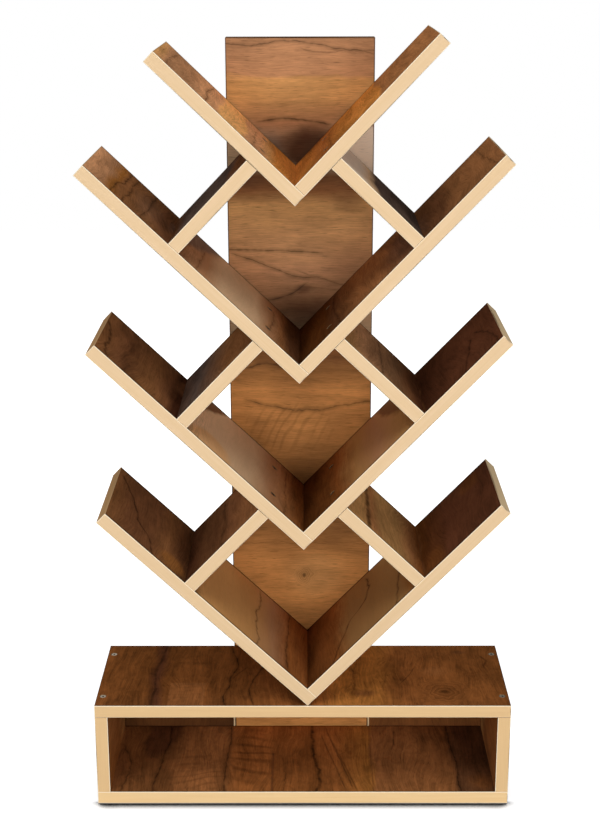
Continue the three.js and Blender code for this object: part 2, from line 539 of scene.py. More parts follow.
    def vein(self, vein: Vein) -> Node:
        """Draws a vein as a thin line with softer shade beside it.

        Args:
            vein: The vein.

        Returns:
            The node that holds its mask.
        """
        first, last = vein.course[0], vein.course[-1]
        run = self.node("Math", self.along, 1 / CURVE_REACH, operation="MULTIPLY")
        curve = self.node("FloatCurve", 1.0, run)
        curve.mapping.use_clip = False
        points = curve.mapping.curves[0].points
        for index, (across, along) in enumerate(vein.course):
            spot = (along / CURVE_REACH, (across - first[0]) / CURVE_REACH)
            if index < 2:
                points[index].location = spot
            else:
                points.new(*spot)
        curve.mapping.update()
        slow = self.node("Math", self.along, 1 / self.waver, first[0] + self.cut.seed,
                         operation="MULTIPLY_ADD")
        noise = self.node("TexNoise", named={"W": slow, "Scale": 1.0, "Detail": 2.0, "Roughness": 0.55},
                          noise_dimensions="1D")
        parts = self.node("SeparateColor", noise.outputs["Color"])
        swing = self.node("MapRange", parts.outputs[0], 0.25, 0.75,
                          first[0] - vein.sway, first[0] + vein.sway)
        share = self.node("MapRange", parts.outputs[1], 0.35, 0.6, 0.7, 1.2)
        line = self.node("Math", curve, CURVE_REACH, swing, operation="MULTIPLY_ADD")
        away = self.distance(self.across, line)
        core = self.node("MapRange", away, 0.3 * vein.width, vein.width, vein.depth, 0.0)
        shade = self.node("MapRange", away, 0.0, vein.shade, 0.5 * vein.depth, 0.0,
                          interpolation_type="SMOOTHERSTEP")
        mark = self.node("Math", core, shade, operation="MAXIMUM")
        mark = self.node("Math", mark, share, operation="MULTIPLY")
        for end, way in ((first[1], -1), (last[1], 1)):
            if self.margin < end < SHELF_DEPTH - self.margin:
                fade = self.node("MapRange", self.along, end, end + way * self.vein_end, 1.0, 0.0)
                mark = self.node("Math", mark, fade, operation="MULTIPLY")
        return mark

    def ripple(self, ripple: Ripple) -> Node:
        """Draws a stretch of ripple figure.

        Args:
            ripple: The stretch.

        Returns:
            The node that holds its gain, about 1.
        """
        climb = self.node("Math", self.across, ripple.slant, self.along, operation="MULTIPLY_ADD")
        noise = self.drift((4 * ripple.pitch, 3 * ripple.pitch), Detail=1.0)
        turn = self.node("Math", climb, math.tau / ripple.pitch, operation="MULTIPLY")
        wave = self.node("Math", self.node("Math", noise, 9.0, turn, operation="MULTIPLY_ADD"),
                         operation="SINE")
        share = self.node("MapRange", noise, 0.35, 0.55, 0.3 * ripple.depth, ripple.depth)
        inside = self.node("Math", self.within(ripple.middle, ripple.reach, 0.5), share,
                           operation="MULTIPLY")
        dip = self.node("MapRange", wave, 0.1, 1.0, 0.25, -1.0)
        return self.node("Math", dip, inside, 1.0, operation="MULTIPLY_ADD")

    def lively(self) -> Node | float:
        """Masks where the streaks show in full.

        Returns:
            The node that holds the mask, or 1 where no sheen is painted.
        """
        # The stretch where a sheen is painted, with its streaks toned down.
        low, high = self.cut.painted_sheen
        if high <= low:
            return 1.0
        away, half = self.distance(self.across, (low + high) / 2), (high - low) / 2
        return self.node("MapRange", away, half - self.painted_sheen_edge[0], half + self.painted_sheen_edge[1],
                         self.painted_sheen_share, 1.0)

    def shaded(self, colour: Node, gain: Node) -> Node:
        """Multiplies a colour by a grey."""
        grey = self.node("CombineColor", gain, gain, gain)
        return self.node("Mix", 1.0, colour, grey, data_type="RGBA", blend_type="MULTIPLY")

    def covered(self, colour: Node, area: Plank | Patch, mask: Node) -> Node:
        """Lays a plank's or patch's tone over a colour."""
        share = self.node("Math", mask, area.strength, operation="MULTIPLY")
        return self.node("Mix", share, colour, linear(area.tone.value, area.light), data_type="RGBA")

    def patched(self, colour: Node, over: bool) -> Node:
        """Lays patches over a colour.

        Args:
            colour: The colour.
            over: Whether to lay the patches that cover the streaks or those that don't.

        Returns:
            The node that holds the new colour.
        """
        for patch in self.cut.patches:
            if patch.over is over:
                mask = self.within(patch.middle, patch.reach, patch.edge, patch.lean)
                colour = self.covered(colour, patch, mask)
        return colour

    def colour(self, fine: Node, pores: Node) -> Node:
        """Lays the whole print.

        Args:
            fine: The fine streaks.
            pores: The pores' mask.

        Returns:
            The node that holds the colour.
        """
        colour = self.ground()
        for plank in self.cut.planks:
            colour = self.covered(colour, plank, self.inside(plank))
        colour = self.patched(colour, over=False)
        broad = self.streaks(self.broad_width, self.drawn_out, 2.5)
        clouds = self.drift(self.clouds, (5, 0), Detail=2.0)
        blotches = self.drift(self.blotches, (0, 3), Detail=4.0, Distortion=0.8)
        contrast, lively, gain = self.cut.contrast, self.lively(), 1.0
        for noise, depth in ((clouds, 0.15 * contrast), (broad, 0.16 * contrast), (fine, 0.2 * contrast),
                             (blotches, self.cut.mottle)):
            swing = self.node("MapRange", noise, 0.3, 0.7, -depth, depth)
            gain = self.node("Math", swing, gain, operation="ADD")
        colour = self.shaded(colour, self.node("Mix", lively, 1.0, gain))
        for ripple in self.cut.ripples:
            colour = self.shaded(colour, self.ripple(ripple))
        colour = self.patched(colour, over=True)
        marks = self.node("Math", pores, self.growth_lines(), operation="MAXIMUM")
        marks = self.node("Math", marks, lively, operation="MULTIPLY")
        width, depth = self.cut.edge_width, self.cut.depth
        # Darker lines along the edges where the grain starts and ends.
        for clear, edge in ((width, 0.6 * width), (depth - width, depth - 0.6 * width)):
            edge_darkening = self.node("MapRange", self.along, clear, edge, 0.0, self.cut.edge_lines)
            marks = self.node("Math", marks, edge_darkening, operation="MAXIMUM")
        for vein in self.cut.veins:
            marks = self.node("Math", marks, self.vein(vein), operation="MAXIMUM")
        for knot in self.cut.knots:
            heart = self.node("MapRange", self.ring(knot), 0.1 * knot.radius, 0.6 * knot.radius, 0.65, 0.0,
                              interpolation_type="SMOOTHSTEP")
            marks = self.node("Math", marks, heart, operation="MAXIMUM")
        return self.node("Mix", marks, colour, linear(self.mark), data_type="RGBA")


def fading_gloss(tree: Tree, gloss: float, start: float, end: float) -> Node:
    """Gives a gloss that fades as a face turns away from the eye, from one turn (0 to 1) to another."""
    turned = add_node(tree, "LayerWeight", 0.5).outputs["Facing"]
    return add_node(tree, "MapRange", turned, start, end, gloss, 0.0)


@dataclass(frozen=True)
class WalnutLaminate:
    """Melamine facing: decor paper printed with walnut, pressed under clear melamine resin on a satin plate.
    The eye sees flat printed grain under one even, low sheen, with faintly pressed pores.

    Attributes:
        name: The material's name.
        cut: What the print shows.
        roughness: Satin melamine, between matt (0.65) and silk (0.35).
        ior: Melamine resin.
        gloss: The share of its gloss that is left where it is seen straight on. It fades where it is seen
            from low down, because the photograph's boards mirror none of the white round them.
        gloss_range: How far a face is turned away where its gloss starts to fade and where none is left,
            from 0 to 1.
        pore_depth: The depth of a pressed pore, in mm.
    """

    name: str
    cut: Print
    roughness: float = 0.55
    ior: float = 1.5
    gloss: float = 0.08
    gloss_range: Pair = (0.1, 0.55)
    pore_depth: float = 0.06

    def build(self) -> Material:
        """Makes the material from the board's UV map.

        Returns:
            The material.
        """
        material, tree = empty_material(self.name)
        drawing = PrintDrawing(tree, self.cut)
        fine = drawing.streaks(*self.cut.streaks, 3.0)
        pores = drawing.pores()
        colour = drawing.colour(fine, pores)
        rough = drawing.node("MapRange", fine, 0.3, 0.7, self.roughness + 0.05, self.roughness - 0.05)
        bump = drawing.node("Bump", invert=True,
                            named={"Strength": 0.4, "Distance": self.pore_depth * MM, "Height": pores})
        shader = drawing.node("BsdfPrincipled", named={
            "Base Color": colour, "Roughness": rough, "IOR": self.ior, "Normal": bump,
            "Specular IOR Level": fading_gloss(tree, self.gloss, *self.gloss_range)})
        drawing.node("OutputMaterial", shader)
        return material


@dataclass(frozen=True)
class EdgeBanding:
    """PVC edge banding, extruded, glued on hot and trimmed flush. The eye sees a smooth, even strip with
    faint printed streaks along it.

    Attributes:
        name: The material's name.
        colour: Its sRGB hex colour.
        streak: The sRGB hex colour of its streaks.
        scraped: The sRGB hex colour of the edge next to the laminate: scraped PVC and a painted highlight.
        scraped_highlight_width: How far that edge shows, in mm. It is drawn wider than the real 0.5 mm so
            that it shows.
        scraped_highlight_fade: Over what width it ends, in mm.
        streak_width: The width of a streak, in mm.
        streak_ratio: How many times longer than wide a streak is.
        roughness: Embossed PVC is satin, and an arris that trimming scrapes is duller.
        ior: PVC.
        emboss: The depth of the embossing, in mm.
        gloss: The share of its gloss that is left where it is seen straight on. It fades at low angles, as
            on the laminate.
        gloss_range: How far a face is turned away where its gloss starts to fade and where none is left,
            from 0 to 1.
    """

    name: str
    colour: str
    streak: str
    scraped: str
    scraped_highlight_width: float = 0.6
    scraped_highlight_fade: float = 0.4
    streak_width: float = 1.8
    streak_ratio: float = 50.0
    roughness: float = 0.5
    ior: float = 1.53
    emboss: float = 0.03
    gloss: float = 0.3
    gloss_range: Pair = (0.2, 0.6)

    def build(self) -> Material:
        """Makes the material from the strip's UV map, which runs along the strip.

        Returns:
            The material.
        """
        material, tree = empty_material(self.name)
        sheet = add_node(tree, "UVMap", uv_map=SHEET_MAP)
        scale = (1 / (self.streak_ratio * self.streak_width), 1 / self.streak_width, 1)
        drawn = add_node(tree, "VectorMath", sheet, scale, operation="MULTIPLY")
        streaks = add_node(tree, "TexNoise", drawn, named={"Scale": 1.0, "Detail": 3.0})
        share = add_node(tree, "MapRange", streaks, 0.35, 0.75, 0.0, 1.0)
        colour = add_node(tree, "Mix", share, linear(self.colour), linear(self.streak), data_type="RGBA")
        # The edge next to the laminate takes the scraped colour: scraped PVC and a painted highlight.
        below = add_node(tree, "SeparateXYZ", sheet).outputs["Y"]
        scraped_highlight_mask = add_node(tree, "MapRange", below, self.scraped_highlight_width, self.scraped_highlight_width + self.scraped_highlight_fade,
                        1.0, 0.0)
        colour = add_node(tree, "Mix", scraped_highlight_mask, colour, linear(self.scraped), data_type="RGBA")
        rough = add_node(tree, "MapRange", streaks, 0.3, 0.7, self.roughness - 0.05, self.roughness + 0.05)
        bump = add_node(tree, "Bump", named={
            "Strength": 0.2, "Distance": self.emboss * MM, "Height": streaks})
        shader = add_node(tree, "BsdfPrincipled", named={
            "Base Color": colour, "Roughness": rough, "IOR": self.ior, "Normal": bump,
            "Specular IOR Level": fading_gloss(tree, self.gloss, *self.gloss_range)})
        add_node(tree, "OutputMaterial", shader)
        return material


@dataclass(frozen=True)
class ParticleCore:
    """Particle board core: pressed wood flakes. It shows in screw holes and on butted ends, as a dull,
    speckled tan.

    Attributes:
        name: The material's name.
        pale: The sRGB hex colour of its palest flakes.
        dark: The sRGB hex colour of its darkest flakes.
        flake: The size of a flake, in mm.
        relief: How far the flakes stand out, in mm.
        roughness: Sawn board, which is matt.
    """

    name: str = "particle_board_core"
    pale: str = "b08b5e"
    dark: str = "7a5a37"
    flake: float = 1.5
    relief: float = 0.3
    roughness: float = 0.85

    def build(self) -> Material:
        """Makes the material from the object's own coordinates.

        Returns:
            The material.
        """
        material, tree = empty_material(self.name)
        place = add_node(tree, "TexCoord").outputs["Object"]
        flakes = add_node(tree, "TexVoronoi", place, named={"Scale": 1 / (self.flake * MM)})
        tint = add_node(tree, "SeparateColor", flakes.outputs["Color"])
        colour = add_node(tree, "Mix", tint, linear(self.pale), linear(self.dark), data_type="RGBA")
        bump = add_node(tree, "Bump", named={
            "Strength": 0.6, "Distance": self.relief * MM, "Height": flakes.outputs["Distance"]})
        shader = add_node(tree, "BsdfPrincipled", named={
            "Base Color": colour, "Roughness": self.roughness, "Normal": bump})
        add_node(tree, "OutputMaterial", shader)
        return material


@dataclass(frozen=True)
class ZincPlatedSteel:
    """Zinc-plated steel of a cold-headed screw, coloured dark. The eye sees a small dark grey
    disc with a slightly mottled shine, and an almost black cross in the recess, where shade is painted.

    Attributes:
        name: The material's name.
        dark: The sRGB hex colour of its darker mottling.
        light: The sRGB hex colour of its lighter mottling.
        mottle: The size of the plating's mottling, in mm.
        roughness: Zinc plating that was tumbled with other screws.
    """

    name: str = "zinc_plated_steel"
    dark: str = "30281d"
    light: str = "6f624e"
    mottle: float = 1.2
    roughness: float = 0.42

    def build(self) -> Material:
        """Makes the material from the object's own coordinates.

        Returns:
            The material.
        """
        material, tree = empty_material(self.name)
        place = add_node(tree, "TexCoord").outputs["Object"]
        mottle = add_node(tree, "TexNoise", place, named={"Scale": 1 / (self.mottle * MM), "Detail": 3.0})
        share = add_node(tree, "MapRange", mottle, 0.35, 0.65, 0.0, 1.0)
        colour = add_node(tree, "Mix", share, linear(self.dark), linear(self.light), data_type="RGBA")
        rough = add_node(tree, "MapRange", mottle, 0.3, 0.7, self.roughness - 0.08, self.roughness + 0.1)
        shader = add_node(tree, "BsdfPrincipled", named={
            "Base Color": colour, "Metallic": 1.0, "Roughness": rough})
        add_node(tree, "OutputMaterial", shader)
        return material


UNSEEN_CUT = Print(
    stops=(Stop(0, Tone.WALNUT), Stop(90, Tone.UMBER), Stop(160, Tone.HAZEL, 0.9), Stop(230, Tone.WALNUT),
           Stop(330, Tone.CHESTNUT), Stop(420, Tone.UMBER), Stop(520, Tone.WALNUT),
           Stop(640, Tone.HAZEL, 0.8), Stop(760, Tone.CHESTNUT), Stop(900, Tone.WALNUT),
           Stop(1040, Tone.UMBER), Stop(1200, Tone.WALNUT)),
    veins=tuple(Vein(((place, 0), (place + 9, 60), (place - 6, 120), (place + drift, 180)))
                for place, drift in ((60, 20), (205, -15), (300, 8), (455, -20), (590, 10), (700, 25),
                                     (840, -10), (990, 15), (1110, -8))),
    knots=(Knot((385, 70)), Knot((930, 120), 12)),
    seed=91.0)


@dataclass(frozen=True)
class TanBanding:
    """The tan banding of a board, as built materials.

    Attributes:
        edges: On its long edges.
        ends: On its ends.
    """

    edges: Material
    ends: Material


@dataclass(frozen=True)
class Finishes:
    """The finishes that boards share, as built materials.

    Attributes:
        core: Particle board.
        unseen: The print on faces that the photograph doesn't show.
        steel: Zinc-plated steel.
        recess: The same, darkened as painted shade in the recess.
        branch_tan: The tan banding of the branches, with ends darker as painted shade, facing away from the
            light.
        right_tan: The same on the right arms, whose ends are lighter as painted light.
        base_tan: The same on the base, tinted a little darker and warmer as painted shade.
        floor_tan: The same at the floor, lighter as painted light.
        arris: The tan banding's arris: scraped PVC and a painted highlight.
        walnut: The dark banding.
    """

    core: Material
    unseen: Material
    steel: Material
    recess: Material
    branch_tan: TanBanding
    right_tan: TanBanding
    base_tan: TanBanding
    floor_tan: TanBanding
    arris: Material
    walnut: Material

    @classmethod
    def build(cls) -> "Finishes":
        """Builds every shared finish.

        Returns:
            The finishes.
        """
        # The third colour of each banding is its edge next to the laminate: scraped PVC and a painted
        # highlight.
        tan = EdgeBanding("tan_pvc_banding", "ddbe95", "d8b88c", "efd4aa").build()
        # Copies of the tan banding, tinted for how light falls: painted shade on the left ends and the base,
        # painted light on the right ends and at the floor.
        left_end_shade_painted = EdgeBanding("tan_pvc_banding_on_left_ends", "c39b6e", "b99062", "c8a276").build()
        right_end_light_painted = EdgeBanding("tan_pvc_banding_on_right_ends", "e8cda2", "e0c498", "eacfa6").build()
        base_tan = EdgeBanding("tan_pvc_banding_on_base", "deba87", "d9b482", "e6c799").build()
        floor_tan = EdgeBanding("tan_pvc_banding_at_floor", "ecca96", "e6c28c", "f0d2a2").build()
        return cls(
            core=ParticleCore().build(),
            unseen=WalnutLaminate("walnut_laminate_unseen_faces", UNSEEN_CUT).build(),
            steel=ZincPlatedSteel().build(),
            # Darker steel in the cross recess: painted shade.
            recess=ZincPlatedSteel("oily_steel_in_recess", "15120f", "2b2620", roughness=0.55).build(),
            branch_tan=TanBanding(tan, left_end_shade_painted),
            right_tan=TanBanding(tan, right_end_light_painted),
            base_tan=TanBanding(base_tan, base_tan),
            floor_tan=TanBanding(floor_tan, floor_tan),
            # The arris: scraped PVC and a painted highlight.
            arris=EdgeBanding("tan_banding_scraped_arris", "fbe9cb", "f4dfbc", "fbe9cb",
                              roughness=0.6).build(),
            walnut=EdgeBanding("walnut_pvc_banding", "684528", "50331e", "684528").build())


# ------------------------------------------------------------------------------------------------ boards


def slanting(angle: float) -> Vector:
    """Gives the direction in the front plane at an angle above the horizon, seen from the front."""
    return Vector((math.cos(angle), 0, math.sin(angle)))


RIGHT, UP, BACK = Vector((1, 0, 0)), Vector((0, 0, 1)), Vector((0, 1, 0))
UP_RIGHT = slanting(BRANCH_TURN + BRANCH_LEAN)
DOWN_RIGHT = slanting(BRANCH_TURN + BRANCH_LEAN - math.pi / 2)


class Lay(Enum):
    """How a board lies: the directions across its grain, along its grain and out of its seen face."""

    RISING = (UP_RIGHT, -BACK, -DOWN_RIGHT)
    FALLING = (DOWN_RIGHT, -BACK, UP_RIGHT)
    FLAT = (RIGHT, -BACK, UP)
    LEFT_SIDE = (UP, -BACK, RIGHT)
    RIGHT_SIDE = (UP, -BACK, -RIGHT)
    TRUNK = (UP, RIGHT, -BACK)
    BACK_BOARD = (RIGHT, UP, -BACK)


class Band(Enum):
    """How an edge of a board is finished."""

    TAN = "tan"
    WALNUT = "walnut"
    RAW = "raw"


class Skin(IntEnum):
    """The material slots of a board's body."""

    SEEN = 0
    UNSEEN = 1
    CORE = 2


class Strip(IntEnum):
    """The material slots of a board's banding."""

    TAN = 0
    ARRIS = 1
    TAN_END = 2
    WALNUT = 3


@dataclass(frozen=True)
class Edges:
    """The finishes of a board's four edges.

    Attributes:
        front: The edge at the end of the grain, which is the front of a shelf.
        back: The edge where the grain starts.
        start: The edge where the print starts.
        end: The edge where the print ends.
    """

    front: Band = Band.TAN
    back: Band = Band.WALNUT
    start: Band = Band.RAW
    end: Band = Band.RAW


def vertices_of(node: str) -> np.ndarray:
    """Gives a CAD node's vertices.

    Args:
        node: The CAD node.

    Returns:
        One row of x, y and z per vertex, in metres.
    """
    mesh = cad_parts[node].data
    points = np.zeros(len(mesh.vertices) * 3)
    mesh.vertices.foreach_get("co", points)
    return points.reshape(-1, 3)


@dataclass(frozen=True)
class Placement:
    """Where a board lies, with its sizes in metres.

    Attributes:
        corner: The corner of its seen face where print and grain start.
        across: The direction across the grain.
        along: The direction along the grain.
        face: The normal of the seen face.
        width: Its size across the grain.
        depth: Its size along the grain.
        thickness: Its thickness.
    """

    corner: Vector
    across: Vector
    along: Vector
    face: Vector
    width: float
    depth: float
    thickness: float

    @classmethod
    def measure(cls, node: str, lay: Lay) -> "Placement":
        """Measures a board on its CAD node.

        Its outline comes from its front edge, because the screws in a strut's foot stand out behind that.

        Args:
            node: The CAD node.
            lay: How the board lies.

        Returns:
            The board's placement.
        """
        points = vertices_of(node)
        edge = points[points[:, 1] < points[:, 1].min() + 1 * MM]
        across, along, face = lay.value
        spans = []
        for axis in (across, along, face):
            reach = (points if abs(axis.y) > 0.5 else edge) @ np.array(axis)
            spans.append((float(reach.min()), float(reach.max())))
        corner = across * spans[0][0] + along * spans[1][0] + face * spans[2][1]
        return cls(corner, across, along, face, *(high - low for low, high in spans))

    def point(self, place: Triple) -> Vector:
        """Gives the point at these distances across, along and below the seen face."""
        return self.corner + self.across * place[0] + self.along * place[1] - self.face * place[2]

    def place(self, point: Vector) -> Triple:
        """Gives a point's distances across, along and below the seen face."""
        away = point - self.corner
        return away.dot(self.across), away.dot(self.along), -away.dot(self.face)

    def holds(self, point: Vector) -> bool:
        """Tells whether a point is in the board."""
        sizes = (self.width, self.depth, self.thickness)
        return all(0 <= place <= size for place, size in zip(self.place(point), sizes))


def new_object(name: str, mesh: Mesh, materials: list[Material]) -> Object:
    """Makes an object in the scene.

    Args:
        name: Its name.
        mesh: Its mesh.
        materials: Its materials, by slot.

    Returns:
        The object.
    """
    for material in materials:
        mesh.materials.append(material)
    made = bpy.data.objects.new(name, mesh)
    bpy.context.scene.collection.objects.link(made)
    return made


def finished(work: BMesh, name: str) -> Mesh:
    """Makes a mesh of a shape that was worked on, which is then freed.

    Args:
        work: The shape.
        name: The mesh's name.

    Returns:
        The mesh.
    """
    mesh = bpy.data.meshes.new(name)
    work.to_mesh(mesh)
    work.free()
    return mesh


def block(work: BMesh, placement: Placement, low: Triple, high: Triple) -> Corners:
    """Adds a block to a mesh.

    Args:
        work: The mesh.
        placement: The board that it belongs to.
        low: Its lowest distances across, along and below the seen face.
        high: Its highest ones.

    Returns:
        Its corners, by which end of each direction they are at.
    """
    ends = (low, high)
    keys = [(i, j, k) for i in (0, 1) for j in (0, 1) for k in (0, 1)]
    corners = {key: work.verts.new(placement.point(tuple(ends[key[n]][n] for n in range(3)))) for key in keys}
    for axis in range(3):
        for side in (0, 1):
            loop = [(0, 0), (0, 1), (1, 1), (1, 0)]
            work.faces.new([corners[tuple([*pair[:axis], side, *pair[axis:]])] for pair in loop])
    return corners


def cut_away(target: Object, cutter: Object) -> None:
    """Cuts one object out of another and deletes the cutter.

    Args:
        target: The object to cut.
        cutter: What is cut out.
    """
    cut = target.modifiers.new("cut", "BOOLEAN")
    cut.object, cut.operation, cut.solver = cutter, "DIFFERENCE", "EXACT"
    solid = bpy.data.meshes.new_from_object(target.evaluated_get(bpy.context.evaluated_depsgraph_get()))
    target.modifiers.clear()
    old, name = target.data, target.data.name
    target.data = solid
    bpy.data.meshes.remove(old)
    solid.name = name
    bpy.data.objects.remove(cutter)


@dataclass(frozen=True)
class Screw:
    """A countersunk chipboard screw.

    Attributes:
        name: The name of its piece.
        head: The middle of its head's flat face.
        direction: The way it points.
        node: The CAD node that it stands for, if it has one of its own.
    """

    name: str
    head: Vector
    direction: Vector
    node: str | None = None

    @classmethod
    def measure(cls, node: str) -> "Screw":
        """Measures a screw on its CAD node.

        Args:
            node: The CAD node.

        Returns:
            The screw.
        """
        points = vertices_of(node)
        middle = points.mean(0)
        axis = np.linalg.svd(points - middle)[2][0]
        reach = (points - middle) @ axis
        girth = np.linalg.norm(points - middle - np.outer(reach, axis), axis=1)
        if reach[girth.argmax()] > 0:
            axis, reach = -axis, -reach
        return cls(node + "_steel", Vector(middle + axis * reach.min()), Vector(axis), node)

    def passes(self, board: Placement, length: float) -> bool:
        """Tells whether the screw passes through a board, from points along it.

        Args:
            board: Where the board lies.
            length: The screw's length in metres.

        Returns:
            Whether it does.
        """
        points = 40
        return any(board.holds(self.head + self.direction * (length * point / points))
                   for point in range(1, points + 1))

    def matrix(self) -> Matrix:
        """Turns the screw's mesh to its place, with its own turn of the recess.

        Returns:
            The matrix of the piece.
        """
        turn = Matrix.Rotation(math.radians(sum(map(ord, self.name)) % 90), 4, "Z")
        facing = (-self.direction).to_track_quat("Z", "Y").to_matrix().to_4x4()
        return Matrix.Translation(self.head) @ facing @ turn


@dataclass
class ScrewKit:
    """The shelf's screws: 4 x 40 mm, countersunk, with a cross recess and a coarse thread.

    Attributes:
        length: The length in mm.
        shank: The diameter over the thread.
        root: The diameter at the thread's root.
        head: The diameter of the head.
        rim: The height of the head's straight rim.
        chamfer: The head's chamfer: its depth and its width.
        neck: How much thicker than the root the plain neck is, all round.
        plain: The length of the plain neck.
        point: The length of the point.
        tip: How much of the thread's size is left at the tip.
        pitch: The pitch of the thread.
        ridge: Half the width of the thread's ridge, in pitches.
        steps: Steps along each turn of the thread.
        recess: The size of the cross recess: across, arm and depth.
        recess_foot: How much of the recess's size across is left at its foot.
        clearance: The gap round the screw in its hole.
        overrun: How far the hole is cut beyond the head's face and beyond the tip.
        sides: Steps round the screw.
        screws: Every screw of the shelf.
    """

    length: float = 40.0
    shank: float = 4.0
    root: float = 2.7
    head: float = 8.0
    rim: float = 0.4
    chamfer: Pair = (0.2, 0.25)
    neck: float = 0.2
    plain: float = 0.6
    point: float = 5.0
    tip: float = 0.06
    pitch: float = 1.8
    ridge: float = 0.28
    steps: int = 5
    recess: Triple = (4.6, 1.15, 1.9)
    recess_foot: float = 0.45
    clearance: float = 0.3
    overrun: float = 1.0
    sides: int = 24
    screws: list[Screw] = field(default_factory=list)

    def turned(self, name: str, rings: list[list[float]], depths: list[float]) -> Mesh:
        """Makes a mesh from rings of radii round the screw's axis.

        Args:
            name: The mesh's name.
            rings: The radii of each ring, step by step, in mm.
            depths: Each ring's distance below the head's face, in mm.

        Returns:
            The mesh, along -Z from the origin, in metres.
        """
        work = bmesh.new()
        rows = []
        for radii, depth in zip(rings, depths):
            row = []
            for step, radius in enumerate(radii):
                angle = 2 * math.pi * step / self.sides
                row.append(work.verts.new((radius * MM * math.cos(angle), radius * MM * math.sin(angle),
                                           -depth * MM)))
            rows.append(row)
        for above, below in zip(rows, rows[1:]):
            for i in range(self.sides):
                j = (i + 1) % self.sides
                work.faces.new((above[i], below[i], below[j], above[j]))
        work.faces.new(rows[0])
        work.faces.new(rows[-1][::-1])
        bmesh.ops.recalc_face_normals(work, faces=work.faces)
        return finished(work, name)

    def drill(self) -> Mesh:
        """Makes the shape of a screw's countersunk hole.

        Returns:
            Its mesh.
        """
        head, hole = self.head / 2 + self.clearance, self.shank / 2 + self.clearance
        depths = [-self.overrun, 0.0, self.rim, self.rim + self.head / 2 - self.shank / 2,
                  self.length + self.overrun]
        rings = [[radius] * self.sides for radius in (head, head, head, hole, hole)]
        return self.turned("drill", rings, depths)

    def blank(self) -> Mesh:
        """Makes the screw with its thread, before its recess is cut.

        Returns:
            Its mesh.
        """
        head, neck = self.head / 2, self.root / 2 + self.neck
        rings = [[radius] * self.sides for radius in (head - self.chamfer[1], head, head, neck)]
        depths = [0.0, self.chamfer[0], self.rim, self.rim + (head - neck)]
        start, end = depths[-1] + self.plain, self.length
        count = int((end - start) / (self.pitch / self.steps))
        for step in range(count + 1):
            depth = start + (end - start) * step / count
            left = min(1.0, max(self.tip, (self.length - depth) / self.point))
            ring = []
            for side in range(self.sides):
                phase = (depth / self.pitch - side / self.sides) % 1
                ridge = max(0.0, 1 - abs(phase - 0.5) / self.ridge)
                ring.append(left * (self.root + (self.shank - self.root) * ridge) / 2)
            rings.append(ring)
            depths.append(depth)
        return self.turned("countersunk_screw", rings, depths)

    def build(self, finishes: Finishes) -> Mesh:
        """Makes the screw's mesh, with its cross recess.

        Args:
            finishes: The shared finishes.

        Returns:
            The mesh that all screws share.
        """
        screw = new_object("screw_blank", self.blank(), [finishes.steel])
        across, arm, depth = (size * MM for size in self.recess)
        for turn in (0, math.pi / 2):
            work = bmesh.new()
            bmesh.ops.create_cube(work, size=1)
            for vertex in work.verts:
                narrow = self.recess_foot if vertex.co.z < 0 else 1.0
                vertex.co = Vector((vertex.co.x * across * narrow, vertex.co.y * arm,
                                    vertex.co.z * depth * 2))
            bmesh.ops.rotate(work, verts=work.verts, matrix=Matrix.Rotation(turn, 3, "Z"))
            cut_away(screw, new_object("recess", finished(work, "recess"), []))
        mesh = screw.data
        bpy.data.objects.remove(screw)
        mesh.materials.clear()
        for material in (finishes.steel, finishes.recess):
            mesh.materials.append(material)
        # Faces in the cross recess take the darker steel, which paints the shade there.
        for face in mesh.polygons:
            face.use_smooth = False
            away = math.hypot(face.center.x, face.center.y)
            in_recess = away < 0.55 * across and -1.05 * depth < face.center.z < -0.05 * MM
            face.material_index = 1 if in_recess else 0
        return mesh

    def place(self, mesh: Mesh) -> None:
        """Places every screw in the scene.

        Args:
            mesh: The screw's mesh.
        """
        for screw in self.screws:
            piece = new_object(screw.name, mesh, [])
            piece.matrix_world = screw.matrix()
            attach(piece, BODY)
            if screw.node:
                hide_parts(screw.node)
            log.info("screw %s", piece.name)


